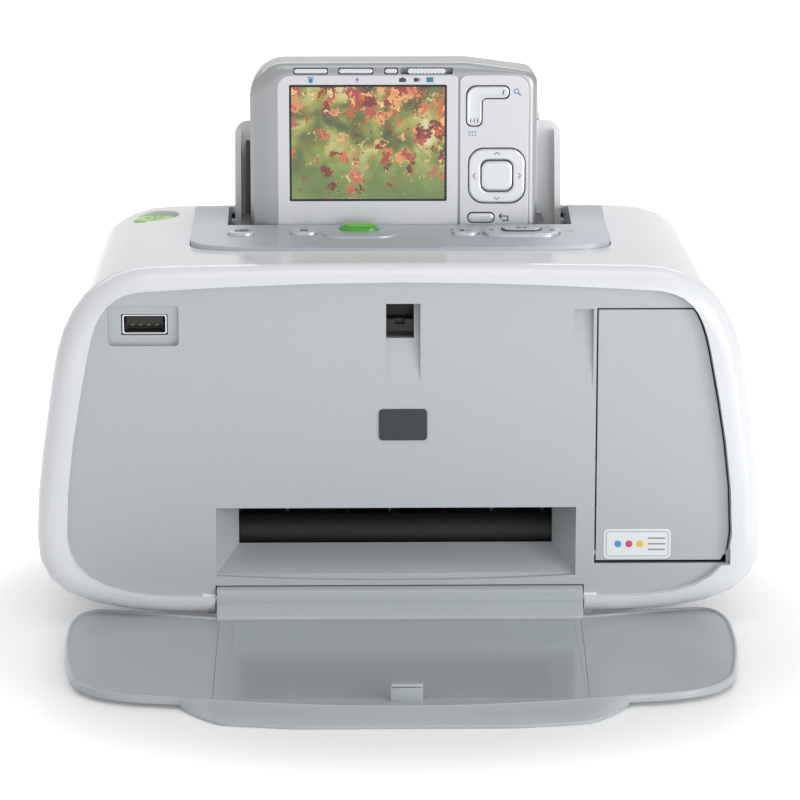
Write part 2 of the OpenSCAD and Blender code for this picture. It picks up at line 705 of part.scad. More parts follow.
module power_button() at_home() color("yellowgreen") {
    translate([power_x, power_y, power_z - 5]) cylinder(r = power_r, h = 5.6);
    translate([power_x, power_y, power_z + 0.6]) cylinder(r1 = power_r, r2 = power_r - 0.8, h = 0.4, $fn = 48);
}

// ---- dock and camera ------------------------------------------------------------------

module dock_cradle() at_home() color("dimgray") difference() {
    box([camera_left - 3, ridge_y, 101], [camera_right + 3, camera_y + camera_t + 3, face_z(ridge_y) - 0.6]);
    translate([0, 0, slide_gap]) box([camera_left - slide_gap, camera_y - slide_gap, camera_z - 2 * slide_gap],
        [camera_right + slide_gap, camera_y + camera_t + slide_gap, 140]);
    box([camera_x - 8.2, dock_y - 3.2, 90], [camera_x + 8.2, dock_y + 3.2, 130]);
    translate([camera_x, dock_y, 104]) for (x = [-30, 30]) translate([x, 0, -5]) cylinder(r = 4, h = 20);
}
dock_y = camera_split + 7;

module dock_connector() at_home() color("black") {
    box([camera_x - 8, dock_y - 3, 94], [camera_x + 8, dock_y + 3, camera_z - slide_gap]);
    box([camera_x - 6, dock_y - 1.5, camera_z - slide_gap - eps], [camera_x + 6, dock_y + 1.5, camera_z + 2.6]);
}

// Camera outline in X and Z: k goes from the widest line (0) to the flat face (1), d draws it in
module camera_outline(k, d) {
    left = camera_left + k * face_in[0] + d;
    right = camera_right - k * face_in[1] - d;
    top = camera_top - k * face_in[2] - d;
    base = camera_z + k * face_in[3] + d;
    big = camera_corner - k * (camera_corner - face_corner) - d;
    small = face_corner - d / 2;
    hull() {
        translate([left + big, top - big]) circle(big);
        translate([right - 18 - small, top - small]) circle(small);
        translate([right - small, top - small - (1 - k) * camera_drop]) circle(small);
        translate([left + small, base + small]) circle(small);
        translate([right - small, base + small]) circle(small);
    }
}
camera_corner = 11;
camera_drop = 2.4;
face_corner = 4.6;
// how far the flat face stands in from the camera's left, right, top and bottom
face_in = [8.5, 2.7, 3.7, 1.2];
face_round = 3.5;

screen_x = camera_x - 8.25;
screen_z = camera_z + 35.1;
nav_x = camera_x + 32.8;
nav_z = camera_z + 24.6;
zoom_x = camera_x + 23.1;
zoom_z = camera_z + 40.6;
menu_x = camera_x + 27.8;
menu_z = camera_z + 11.1;
top_keys = [[camera_x - 26.4, 10.4], [camera_x - 12.1, 10.6], [camera_x - 0.9, 3.8]];
slider_at = [camera_x + 10.4, 12];
slider_travel = 2;

// L-shaped zoom rocker, grown by d
module zoom_outline(d) translate([zoom_x, zoom_z]) {
    translate([-d, -d]) square([4.8 + 2 * d, 12.6 + 2 * d]);
    translate([-d, 8.8 - d]) square([13.4 + 2 * d, 3.8 + 2 * d]);
}

module camera_back() at_home() color("silver") difference() {
    hull() {
        for (a = [30:20:90]) along_y(camera_y + face_round * (1 - sin(a)),
            camera_y + face_round * (1 - sin(a)) + 0.4) camera_outline(1 - cos(a), 0);
        along_y(camera_y + face_round, camera_split) camera_outline(0, 0);
    }
    along_y(camera_y - 1, camera_y + 1.2) translate([screen_x, screen_z])
        square([screen_w + 0.2, screen_h + 0.2], center = true);
    along_y(camera_y - 1, camera_y + 0.5) translate([camera_x + 20.6, camera_z + 29])
        square([0.7, 54], center = true);
    along_y(camera_y - 1, camera_split - 1) zoom_outline(slide_gap);
    along_y(camera_y - 1, camera_split - 1) translate([nav_x, nav_z])
        round_rect(17.8 + 2 * slide_gap, 17.4 + 2 * slide_gap, 5);
    along_y(camera_y - 1, camera_split - 1) translate([menu_x, menu_z])
        round_rect(8.2 + 2 * slide_gap, 3 + 2 * slide_gap, 1.4);
    for (b = top_keys) top_key(b, slide_gap, camera_split - 1);
    top_key(slider_at + [0, 2 * slider_travel], slide_gap, camera_split - 1);
}

module camera_front() at_home() color("gray") difference() {
    hull() {
        along_y(camera_split, camera_y + camera_t - 4) camera_outline(0, 0);
        along_y(camera_y + camera_t - 0.4, camera_y + camera_t) camera_outline(0, 3);
    }
    box([camera_x - 6.3, dock_y - 1.8, camera_z - 1], [camera_x + 6.3, dock_y + 1.8, camera_z + 3.4]);
    plug(camera_x, camera_z + 31, lens_r, camera_y + camera_t - 3, camera_y + camera_t + 1);
}

module camera_screen() at_home() color("midnightblue")
    along_y(camera_y + 0.3, camera_y + 1.2) translate([screen_x, screen_z])
        square([screen_w, screen_h], center = true);

module camera_lens() at_home() {
    color("gray") difference() {
        plug(camera_x, camera_z + 31, lens_r - 0.05, camera_y + camera_t - 3, camera_y + camera_t + 2.4);
        plug(camera_x, camera_z + 31, lens_r - 6, camera_y + camera_t - 2, camera_y + camera_t + 3);
    }
    color("black") plug(camera_x, camera_z + 31, lens_r - 6, camera_y + camera_t - 2, camera_y + camera_t + 1.4);
}

// Key in the camera's top edge: its middle and width in X, grown by d, back to y
module top_key(b, d, y) along_y(camera_y - 0.4, y) translate([b[0], camera_top - 2.7])
    round_rect(b[1] + 2 * d, 1.5 + 2 * d, 0.6);

module delete_button() at_home() color("silver") top_key(top_keys[0], 0, camera_y + 3.4);
module flash_button() at_home() color("silver") top_key(top_keys[1], 0, camera_y + 3.4);
module shutter_button() at_home() color("silver") top_key(top_keys[2], 0, camera_y + 3.4);
module mode_slider() at_home() color("silver") difference() {
    top_key(slider_at, 0, camera_y + 3.4);
    for (i = [-4:4]) translate([slider_at[0] + i * 1.1 - 0.25, camera_y - 1, camera_top - 4])
        cube([0.5, 0.8, 3]);
}
module zoom_rocker() at_home() color("silver") along_y(camera_y - 0.7, camera_y + 3.4) zoom_outline(0);
module nav_pad() at_home() color("silver") along_y(camera_y - 0.5, camera_y + 3.4)
    translate([nav_x, nav_z]) difference() {
        round_rect(17.8, 17.4, 4.8);
        round_rect(9.8 + 2 * slide_gap, 9.6 + 2 * slide_gap, 2.6);
    }
module ok_button() at_home() color("silver") along_y(camera_y - 0.9, camera_y + 3.4)
    translate([nav_x, nav_z]) round_rect(9.8, 9.6, 2.4);
module menu_button() at_home() color("silver") along_y(camera_y - 0.6, camera_y + 3.4)
    translate([menu_x, menu_z]) round_rect(8.2, 3, 1.3);

// ---- input tray -----------------------------------------------------------------------

module feeder_place() at_home() translate([bay_x, feeder_y, feeder_z]) rotate([-feeder_lean, 0, 0])
    children();

module input_tray() color("whitesmoke") feeder_place() {
    w = feeder_w / 2;
    along_y(0, feeder_t) difference() {
        translate([0, feeder_h / 2 - 1.5]) round_rect(feeder_w, feeder_h + 3, 4);
        translate([0, feeder_h + 12]) circle(22, $fn = 96);
    }
    for (k = [-1, 1]) along_x(k * (w - feeder_t / 2) - feeder_t / 2, k * (w - feeder_t / 2) + feeder_t / 2)
        polygon([[0.5, -1], [-6.5, -1], [-6.5, feeder_h - 9], [-4.5, feeder_h - 3.4], [0.5, feeder_h - 3.4]]);
    for (k = [-1, 1]) axle(0, 0, 1.5, k * (w + 1) - 2, k * (w + 1) + 2);
}

module paper_guide() color("dimgray") feeder_place()
    translate([-feeder_w / 2 + feeder_t + 1.5, 0, 0]) {
        box([0, -6, 2], [1.6, -slide_gap, feeder_h - 7]);
        box([0, -1.4, 2], [6, -slide_gap, 6]);
    }

// ---- mechanism ------------------------------------------------------------------------

module chassis() at_home() color("gainsboro") difference() {
    union() {
        box([left_plate - plate_t, 30, base_z], [88, chassis_back, base_z + plate_t]);
        along_x(left_plate - plate_t, left_plate) polygon([[17, base_z + 6], [30, base_z], [chassis_back, base_z],
            [chassis_back, belt_z + 6], [feed_y + 16, belt_z + 6], [feed_y, belt_z + 2], [17, 44]]);
        along_x(right_plate, right_plate + plate_t) polygon([[17, 18], [chassis_back - 4, 18],
            [chassis_back - 4, 70], [feed_y, 70], [17, 44]]);
        box([left_plate - plate_t, 13, 36], [left_plate, 31, 44]);
        box([86.5, 30, base_z], [88, chassis_back - 4, 19.5]);
        box([86.5, 30, 18], [right_plate + plate_t, chassis_back - 4, 19.5]);
        // shelf of the carriage motor and stud of the belt's idler pulley
        box([motor_x - 12.5, pulley_y - 12, 25.5], [right_plate + eps, pulley_y + 12, 27]);
        box([left_plate - eps, pulley_y - 5, belt_z - 5.5], [tension_x + 5, pulley_y + 5, belt_z - 4]);
        translate([tension_x, pulley_y, belt_z - 4.5]) cylinder(r = 1.5, h = belt_h + 6);
        // legs of the platen
        for (x = [-50, 44]) box([x, feed_y - 24, base_z + plate_t - eps], [x + 6, feed_y - 16, drive_z - 5]);
    }
    for (p = [[exit_y, drive_z], [feed_y, drive_z], [pick_y, pick_z]])
        axle(p[0], p[1], shaft_r + run_gap, left_plate - 5, right_plate + 5);
    axle(rod_y, rod_z, rod_r + 0.02, left_plate - 5, right_plate + 5);
    axle(idler_y, drive_z, 1.5 + run_gap, left_plate - 5, left_plate + 5);
    axle(pinion_y, pinion_z, 4, left_plate - 5, left_plate + 5);
    for (p = screw_places) translate([p[0], p[1], 0]) cylinder(r = 1.52, h = 20);
    box([-60, 60, 0], [60, 90, base_z + 5]);
    translate([motor_x, pulley_y, 20]) cylinder(r = 4, h = 10);
}

module platen() at_home() color("black") difference() {
    union() {
        box([slot_x - 56, feed_y - 31, drive_z - 5], [slot_x + 56, feed_y - 9, drive_z + 2]);
        for (i = [-7:7]) box([slot_x + i * 7.6 - 0.8, feed_y - 31, drive_z + 2 - eps],
            [slot_x + i * 7.6 + 0.8, feed_y - 9, drive_z + 4]);
    }
    box([slot_x - 42, feed_y - 27, drive_z - 6], [slot_x + 42, feed_y - 13, drive_z - 2]);
}

wheel_r = 3;
wheel_z = drive_z + exit_r + 0.3 + wheel_r;
wheel_places = [-50, -35, -3, 29, 45];

module star_wheel_bar() at_home() color("black") difference() {
    union() {
        box([left_plate, exit_y + 4.4, wheel_z - 2], [right_plate, exit_y + 7.4, wheel_z + 2.4]);
        for (x = [-55.5, 50]) box([x, exit_y - 1.8, wheel_z - 1.8], [x + 2.5, exit_y + 4.5, wheel_z + 2.4]);
    }
    axle(exit_y, wheel_z, 0.8 + run_gap, -60, 60);
}

module star_wheels() at_home() color("silver") {
    axle(exit_y, wheel_z, 0.8, -56, 53);
    for (x = wheel_places) along_x(x - 0.5, x + 0.5) translate([exit_y, wheel_z])
        polygon([for (i = [0:15]) each [wheel_r * dir(i * 22.5), (wheel_r - 0.8) * dir((i + 0.5) * 22.5)]]);
}

module carriage_rod() at_home() color("silver")
    axle(rod_y, rod_z, rod_r, left_plate - plate_t - 0.5, right_plate + plate_t + 0.5);

module service_station() at_home() {
    color("dimgray") box([66, 30, base_z + plate_t], [86.4, 54, 24]);
    color("dimgray") box([68, 32, 24 - eps], [85, 52, 31.6]);
    color("black") box([park_x - 10, 33, 31.6 - eps], [85, 51, 33.4]);
}

module main_board() at_home() {
    color("darkgreen") box([left_plate, 13, 36], [-62, 14.6, 97]);
    color("black") box([-84, 14.6 - eps, 56], [-70, 16, 70]);
}

module carriage_motor() at_home() color("silver") translate([motor_x, pulley_y, 27]) difference() {
    cylinder(r = 11.5, h = 30);
    translate([0, 0, 18]) cylinder(r = 1 + run_gap, h = 20);
}

module pulley(x, bore) translate([x, pulley_y, belt_z]) difference() {
    union() {
        cylinder(r = pulley_r, h = belt_h);
        for (z = [-0.8, belt_h]) translate([0, 0, z]) cylinder(r = pulley_r + 1.2, h = 0.8);
    }
    translate([0, 0, -5]) cylinder(r = bore, h = 20);
}

module motor_pulley() at_home() {
    color("gray") pulley(motor_x, 0.98);
    color("silver") translate([motor_x, pulley_y, 48]) cylinder(r = 1, h = belt_z + belt_h - 47);
}
module idler_pulley() at_home() color("gray") pulley(tension_x, 1.5 + run_gap);

module drive_belt() at_home() color("black") translate([0, pulley_y, belt_z + 0.4])
    linear_extrude(belt_h - 0.8) difference() {
        belt_loop(pulley_r + 1.05);
        belt_loop(pulley_r + run_gap);
    }
module belt_loop(r) {
    for (x = [tension_x, motor_x]) translate([x, 0]) circle(r);
    translate([tension_x, -r]) square([motor_x - tension_x, 2 * r]);
}

module feed_motor() at_home() color("silver") difference() {
    union() {
        axle(pinion_y, pinion_z, 11, left_plate, left_plate + 22);
        axle(pinion_y, pinion_z, 3.9, left_plate - plate_t, left_plate + eps);
    }
    axle(pinion_y, pinion_z, 1 + run_gap, left_plate - 4, left_plate + 12);
}

module feed_pinion() at_home() {
    color("goldenrod") gear(pinion_y, pinion_z, pinion_teeth, gear_x, gear_t, 0.98, pinion_a + 180, true);
    color("silver") axle(pinion_y, pinion_z, 1, gear_x, left_plate + 11);
}

module feed_gear() at_home() color("ivory")
    gear(feed_y, drive_z, feed_teeth, gear_x, gear_t, shaft_r + 0.02, 180, false);

module feed_roller() at_home() {
    color("silver") axle(feed_y, drive_z, shaft_r, gear_x - 0.5, right_plate + plate_t + 1);
    color("dimgray") axle(feed_y, drive_z, feed_r, slot_x - 54, slot_x + 54);
}

module idler_gear() at_home() {
    color("ivory") gear(idler_y, drive_z, idler_teeth, gear_x, gear_t, 1.48, 0, true);
    color("silver") axle(idler_y, drive_z, 1.5, gear_x - 0.5, left_plate + 1.5);
}

module output_roller() at_home() {
    color("silver") axle(exit_y, drive_z, shaft_r, gear_x - 0.5, right_plate + plate_t + 1);
    color("black") axle(exit_y, drive_z, exit_r, slot_x - 52, slot_x + 52);
    color("ivory") gear(exit_y, drive_z, exit_teeth, gear_x, gear_t, shaft_r - 0.02, 0,
        idler_teeth % 2 == 1);
}

module pickup_roller() at_home() {
    color("silver") axle(pick_y, pick_z, shaft_r, left_plate - plate_t - 1, right_plate + plate_t + 1);
    color("dimgray") difference() {
        axle(pick_y, pick_z, pick_r, -18, 18);
        box([-19, pick_y - 9, pick_z + 5.5], [19, pick_y + 9, pick_z + 12]);
    }
}

module carriage() at_home() color("dimgray") difference() {
    union() {
        difference() {
            box([park_x - carriage_w / 2, 17, 41], [park_x + carriage_w / 2, 60, 92]);
            box([park_x - carriage_w / 2 + 2.5, 14, 43.5], [park_x + carriage_w / 2 - 2.5, 57.5, 95]);
            box([park_x - 9, 33, 40], [park_x + 9, 51, 45]);
        }
        box([park_x - carriage_w / 2, 60 - eps, rod_z - 7], [park_x + carriage_w / 2, rod_y + 5.5, rod_z + 8]);
        box([park_x - 5, rod_y + 5, rod_z + 4], [park_x + 2, pulley_y - 2.6, belt_z - 1.4]);
        for (y = [pulley_y - pulley_r - 3.2, pulley_y - pulley_r + 0.6])
            box([park_x - 5, y, belt_z - 1.5], [park_x + 2, y + 1.4, belt_z + belt_h]);
    }
    axle(rod_y, rod_z, rod_r + run_gap, park_x - 40, park_x + 40);
}

module ink_cartridge() at_home() {
    color("black") {
        box([park_x - carriage_w / 2 + 3, 20, 43.6], [park_x + carriage_w / 2 - 3, 57, 88]);
        box([park_x - 8.5, 33.5, 34], [park_x + 8.5, 50.5, 44 + eps]);
    }
    color("royalblue") box([park_x - 10, 22, 88 - eps], [park_x + 10, 54, 88.4]);
}

module rear_usb_socket() at_home() {
    color("silver") difference() {
        along_y(case_d - 16, case_d - 1) translate([usb_b_x, socket_z]) square([12, 11], center = true);
        along_y(case_d - 14, case_d) translate([usb_b_x, socket_z]) square([8.6, 8], center = true);
    }
    color("white") along_y(case_d - 14 - eps, case_d - 4) translate([usb_b_x, socket_z]) square([5.6, 3], center = true);
}

module power_socket() at_home() {
    color("black") difference() {
        along_y(case_d - 14, case_d - 1) translate([power_in_x, socket_z]) square([15, 9], center = true);
        plug(power_in_x, socket_z, 2.8, case_d - 12, case_d);
    }
    color("silver") plug(power_in_x, socket_z, 0.9, case_d - 12 - eps, case_d - 2);
}

upper_case();
lower_case();
front_panel();
rear_panel();
console();
dock_cradle();
dock_connector();
front_usb_socket();
badge_plate();
rear_usb_socket();
power_socket();
rubber_feet();
case_screws();
chassis();
platen();
star_wheel_bar();
carriage_rod();
service_station();
main_board();
carriage_motor();
feed_motor();
drive_belt();
status_led();
latch_catch();
output_tray();
tray_centre_panel();
tray_hinge_pins();
ink_door();
ink_label();
input_tray();
paper_guide();
power_button();
print_button();
photo_fix_button();
cancel_button();
back_button();
nav_rocker();
carriage();
ink_cartridge();
motor_pulley();
idler_pulley();
feed_roller();
feed_gear();
feed_pinion();
idler_gear();
output_roller();
star_wheels();
pickup_roller();
camera_front();
camera_back();
camera_screen();
camera_lens();
mode_slider();
zoom_rocker();
nav_pad();
ok_button();
menu_button();
delete_button();
flash_button();
shutter_button();
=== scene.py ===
import bpy
import bmesh
import math
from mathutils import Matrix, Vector


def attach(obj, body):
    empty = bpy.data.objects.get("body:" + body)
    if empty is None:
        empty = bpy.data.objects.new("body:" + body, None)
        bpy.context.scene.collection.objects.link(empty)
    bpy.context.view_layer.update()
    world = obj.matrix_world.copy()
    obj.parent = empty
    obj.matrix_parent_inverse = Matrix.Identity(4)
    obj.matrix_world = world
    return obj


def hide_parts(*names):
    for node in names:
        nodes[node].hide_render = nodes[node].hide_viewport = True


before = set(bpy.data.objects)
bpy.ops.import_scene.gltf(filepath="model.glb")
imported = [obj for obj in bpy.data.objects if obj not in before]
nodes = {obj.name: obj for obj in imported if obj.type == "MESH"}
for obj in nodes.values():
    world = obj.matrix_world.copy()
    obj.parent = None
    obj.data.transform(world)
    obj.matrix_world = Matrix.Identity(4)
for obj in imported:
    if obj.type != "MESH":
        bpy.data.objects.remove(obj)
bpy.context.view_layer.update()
MM = 0.001

# ---- The picture -----------------------------------------
# A long lens looks at the middle of the printer from a little above it, as in the photograph.
# The table is a white sweep that runs out of sight. Large soft boxes stand above, in front and
# to the right, so the right side is the brighter one, and two strips draw the other edges.
LENS_MM, SENSOR_MM = 147.15, 36
EYE_AT, LOOK_AT = (-0.016, -0.9811, 0.2798), (0, -0.003, 0.0719)
SWEEP_HALF = 6
scene = bpy.context.scene
scene.view_settings.view_transform = "Standard"
lens = bpy.data.cameras.new("long_lens")
lens.lens = LENS_MM
lens.sensor_width = SENSOR_MM
lens.clip_start, lens.clip_end = 0.05, 30
eye = bpy.data.objects.new("eye", lens)
scene.collection.objects.link(eye)
eye.location = EYE_AT
aim = Vector(LOOK_AT) - eye.location
eye.rotation_mode = "QUATERNION"
eye.rotation_quaternion = aim.to_track_quat("-Z", "Y")
scene.camera = eye


def linear(code):
    """An sRGB hex colour as linear RGBA."""
    parts = [int(code[i:i + 2], 16) / 255 for i in (1, 3, 5)]
    return [p / 12.92 if p <= 0.04045 else ((p + 0.055) / 1.055) ** 2.4 for p in parts] + [1.0]


def add(tree, kind, links=None, **settings):
    """Adds a node to a tree. Settings are sockets by name (spaces as _) or node attributes."""
    made = tree.nodes.new(kind)
    for key, value in settings.items():
        if hasattr(made, key):
            setattr(made, key, value)
        else:
            made.inputs[key.replace("_", " ")].default_value = value
    for socket, source in (links or {}).items():
        tree.links.new(source, made.inputs[socket])
    return made


def blank(name):
    """A material with an empty node tree."""
    made = bpy.data.materials.new(name)
    made.use_nodes = True
    made.node_tree.nodes.clear()
    return made


def seen_by_eye(tree):
    """1 for the rays that show the background itself: camera, glossy and transmission rays."""
    rays = add(tree, "ShaderNodeLightPath")
    first = add(tree, "ShaderNodeMath", {0: rays.outputs["Is Camera Ray"],
                1: rays.outputs["Is Transmission Ray"]}, operation="MAXIMUM")
    return add(tree, "ShaderNodeMath", {0: first.outputs[0], 1: rays.outputs["Is Glossy Ray"]},
               operation="MAXIMUM").outputs[0]


world = bpy.data.worlds.new("studio")
scene.world = world
world.use_nodes = True
sky = world.node_tree
sky.nodes.clear()
level = add(sky, "ShaderNodeMapRange", {"Value": seen_by_eye(sky)}, To_Min=0.46, To_Max=1.0)
air = add(sky, "ShaderNodeBackground", {"Strength": level.outputs[0]}, Color=linear("#FFFFFF"))
add(sky, "ShaderNodeOutputWorld", {"Surface": air.outputs[0]})

# name, place, aim, width and height, watts
for name, at, towards, size, watts in (
        ("box_above", (0.1, -0.2, 1.3), (0, -0.03, 0.03), (1.2, 0.5), 2.9),
        ("box_front", (0.85, -1.45, 0.34), (0.02, 0, 0.04), (1.2, 0.6), 7.6),
        ("box_right", (0.95, -0.7, 0.3), (0.03, 0, 0.05), (0.35, 0.6), 3.4),
        ("strip_back", (-0.1, 0.75, 0.7), (0, -0.02, 0.05), (1.3, 0.16), 2.1),
        ("strip_left", (-0.95, -0.2, 0.5), (0, -0.02, 0.06), (0.14, 0.7), 0.3)):
    lamp = bpy.data.lights.new(name, "AREA")
    lamp.shape = "RECTANGLE"
    lamp.size, lamp.size_y = size
    lamp.energy = watts
    held = bpy.data.objects.new(name, lamp)
    held.location = at
    held.rotation_mode = "QUATERNION"
    held.rotation_quaternion = (Vector(towards) - Vector(at)).to_track_quat("-Z", "Y")
    held.visible_camera = False
    scene.collection.objects.link(held)


def flesh(name, bm, finishes=(), unit=1.0):
    """Turns mesh code into an object of the scene, its closed shells facing outwards."""
    if unit != 1.0:
        bmesh.ops.scale(bm, vec=(unit,) * 3, verts=bm.verts)
        bmesh.ops.recalc_face_normals(bm, faces=bm.faces)
    mesh = bpy.data.meshes.new(name)
    bm.to_mesh(mesh)
    bm.free()
    made = bpy.data.objects.new(name, mesh)
    for finish in finishes:
        mesh.materials.append(finish)
    scene.collection.objects.link(made)
    return made


# Coated white board: a diffuse white that keeps the shadow, with a faint soft reflection at a
# low angle. Its glow grows away from the printer, so the far floor is seen as plain white.
board = blank("coated_white_board")
tree = board.node_tree
matt = add(tree, "ShaderNodeBsdfDiffuse", Color=linear("#F2F2F2"))
sheen = add(tree, "ShaderNodeBsdfGlossy", Color=linear("#FFFFFF"), Roughness=0.28)
rim = add(tree, "ShaderNodeFresnel", IOR=1.28)
paper = add(tree, "ShaderNodeMixShader",
            {"Fac": rim.outputs[0], 1: matt.outputs[0], 2: sheen.outputs[0]})
spot = add(tree, "ShaderNodeTexCoord")
reach = add(tree, "ShaderNodeVectorMath", {0: spot.outputs["Object"]}, operation="LENGTH")
sweep = add(tree, "ShaderNodeMapRange", {"Value": reach.outputs["Value"]},
            interpolation_type="SMOOTHSTEP", From_Min=0.112, From_Max=0.21, To_Min=0.14, To_Max=0.8)
share = add(tree, "ShaderNodeMath", {0: sweep.outputs[0], 1: seen_by_eye(tree)}, operation="MULTIPLY")
glow = add(tree, "ShaderNodeEmission", {"Strength": share.outputs[0]}, Color=linear("#FFFFFF"))
both = add(tree, "ShaderNodeAddShader", {0: paper.outputs[0], 1: glow.outputs[0]})
add(tree, "ShaderNodeOutputMaterial", {"Surface": both.outputs[0]})
bm = bmesh.new()
bmesh.ops.create_grid(bm, x_segments=1, y_segments=1, size=SWEEP_HALF)
flesh("sweep", bm, [board])


# ---- Case shells -----------------------------------------
# Two injection-moulded shells of polished white ABS that meet at a fine seam low on the sides.
# Their rim stands round the front like a picture frame, with every edge rounded.
def plastic(name, colour, rough, grain_mm, bump, coat=0.0, flake=0.0, metal=0.0, shade=0.01):
    """Moulded or painted plastic. Its texture and the cells of its metallic flake are sized in
    millimetres, and its colour drifts by the shade."""
    made = blank(name)
    tree = made.node_tree
    place = add(tree, "ShaderNodeTexCoord")
    cloud = add(tree, "ShaderNodeTexNoise", {"Vector": place.outputs["Object"]}, Scale=25.0, Detail=2.0)
    grain = add(tree, "ShaderNodeTexNoise", {"Vector": place.outputs["Object"]},
                Scale=1 / (grain_mm * MM), Detail=3.0)
    tone = add(tree, "ShaderNodeMix", {"Factor": cloud.outputs["Fac"]}, data_type="RGBA")
    tone.inputs[6].default_value = [c * (1 - shade) for c in linear(colour)[:3]] + [1.0]
    tone.inputs[7].default_value = [min(1, c * (1 + shade)) for c in linear(colour)[:3]] + [1.0]
    last = tone.outputs[2]
    if flake:
        cell = add(tree, "ShaderNodeVectorMath", {0: place.outputs["Object"]}, operation="SNAP")
        cell.inputs[1].default_value = (flake * MM,) * 3
        spark = add(tree, "ShaderNodeTexWhiteNoise", {"Vector": cell.outputs[0]})
        lift = add(tree, "ShaderNodeMapRange", {"Value": spark.outputs["Value"]},
                   To_Min=0.97, To_Max=1.03)
        last = add(tree, "ShaderNodeVectorMath", {0: last, 1: lift.outputs[0]},
                   operation="MULTIPLY").outputs[0]
    sheen = add(tree, "ShaderNodeMapRange", {"Value": grain.outputs["Fac"]},
                To_Min=rough * 0.85, To_Max=min(1, rough * 1.15))
    dents = add(tree, "ShaderNodeBump", {"Height": grain.outputs["Fac"]},
                Strength=bump, Distance=grain_mm * MM * 0.2)
    skin = add(tree, "ShaderNodeBsdfPrincipled", {"Base Color": last, "Roughness": sheen.outputs[0],
               "Normal": dents.outputs[0]}, Metallic=metal)
    if coat:
        skin.inputs["Coat Weight"].default_value = coat
        skin.inputs["Coat Roughness"].default_value = 0.08
    add(tree, "ShaderNodeOutputMaterial", {"Surface": skin.outputs[0]})
    return made


def settle(piece):
    """Applies a piece's modifiers."""
    plain = bpy.data.meshes.new_from_object(piece.evaluated_get(bpy.context.evaluated_depsgraph_get()))
    piece.modifiers.clear()
    piece.data = plain
    return piece


def fit(piece, body, slot, *cad):
    """Fastens a piece to its body and hides the CAD nodes that it stands for. Its slot, the name of its
    finish, is not used.
    """
    if cad:
        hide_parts(*cad)
    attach(piece, body)
    return piece


# edges sharper than this many degrees are broken, or stay crisp
CREASE = 32


def dressed(name, material, body, slot, *cad, edge, crease=CREASE):
    """A piece on the form of its CAD nodes, with its doubles merged and its sharp edges broken."""
    bm = bmesh.new()
    for n in cad:
        bm.from_mesh(nodes[n].data)
    bmesh.ops.remove_doubles(bm, verts=bm.verts, dist=2e-6)
    bmesh.ops.dissolve_limit(bm, angle_limit=math.radians(0.4), verts=bm.verts, edges=bm.edges)
    piece = flesh(name, bm, [material])
    for p in piece.data.polygons:
        p.material_index = 0
        p.use_smooth = True
    if edge:
        cut = piece.modifiers.new("broken_edges", "BEVEL")
        cut.width, cut.segments = edge * MM, 2
        cut.limit_method, cut.angle_limit = "ANGLE", math.radians(crease)
        cut.use_clamp_overlap = True
        level = piece.modifiers.new("flat_faces_stay_flat", "WEIGHTED_NORMAL")
        level.mode, level.weight, level.keep_sharp = "FACE_AREA", 100, True
        settle(piece)
    else:
        piece.data.set_sharp_from_angle(angle=math.radians(crease))
    return fit(piece, body, slot, *cad)


# polished ABS: a clear gloss over a very slightly rippled white
white_abs = plastic("polished_white_abs", "#E2E4E8", rough=0.17, grain_mm=1.2, bump=0.03,
                    shade=0.006)
dressed("upper_shell", white_abs, "case", "case_white", "upper_case", edge=0.5)
dressed("lower_shell", white_abs, "case", "case_white", "lower_case", edge=0.4)


# ---- Feet and screws -------------------------------------
# Four pressed rubber feet sit in round seats under the lower shell, and four cross-head
# screws of plated steel hold the sheet frame to it.
def metal(name, colour, rough, grain_mm, stretch=(1, 1, 1)):
    """Bare metal. Its marks are stretched along the axis with the smallest number."""
    made = blank(name)
    tree = made.node_tree
    place = add(tree, "ShaderNodeTexCoord")
    pull = add(tree, "ShaderNodeMapping", {"Vector": place.outputs["Object"]})
    pull.inputs["Scale"].default_value = stretch
    marks = add(tree, "ShaderNodeTexNoise", {"Vector": pull.outputs[0]},
                Scale=1 / (grain_mm * MM), Detail=2.0)
    sheen = add(tree, "ShaderNodeMapRange", {"Value": marks.outputs["Fac"]},
                To_Min=rough * 0.7, To_Max=rough * 1.3)
    dents = add(tree, "ShaderNodeBump", {"Height": marks.outputs["Fac"]}, Strength=0.1, Distance=0.00005)
    skin = add(tree, "ShaderNodeBsdfPrincipled", {"Roughness": sheen.outputs[0],
               "Normal": dents.outputs[0]}, Base_Color=linear(colour), Metallic=1.0)
    add(tree, "ShaderNodeOutputMaterial", {"Surface": skin.outputs[0]})
    return made


# pressed rubber: dull, dark and finely pitted
soft_rubber = plastic("pressed_foot_rubber", "#2A2A2B", rough=0.75, grain_mm=0.25, bump=0.4,
                      shade=0.04)
# turned and ground steel: bright, with fine marks round the part
ground_steel = metal("ground_steel", "#B9BABD", rough=0.25, grain_mm=0.2, stretch=(0.1, 1, 1))
dressed("feet", soft_rubber, "case", "foot_rubber", "rubber_feet", edge=0.3)
dressed("screws", ground_steel, "case", "screw_steel", "case_screws", edge=0.1)

# ---- Frame and fixed parts of the mechanism --------------
# A folded frame of galvanised sheet carries the guide rod, the paper bed, the star wheel beam,
# the wiper station, two motors, the toothed belt and the logic board.
# galvanised sheet: soft grey spangle about 1.5 mm across
zinc = metal("galvanised_sheet", "#A9ACAF", rough=0.4, grain_mm=1.5)
# drawn steel cans of the motors: faint lines along the can
drawn_steel = metal("plated_drawn_steel", "#B5B6B9", rough=0.3, grain_mm=0.3, stretch=(1, 1, 0.1))
# spark-textured black ABS: dull, with an even fine grain
black_abs = plastic("textured_black_abs", "#08080A", rough=0.55, grain_mm=0.3, bump=0.2, shade=0.04)
# the same texture in dark grey
dark_abs = plastic("textured_dark_grey_abs", "#3A3B3D", rough=0.45, grain_mm=0.3, bump=0.25,
                   shade=0.03)
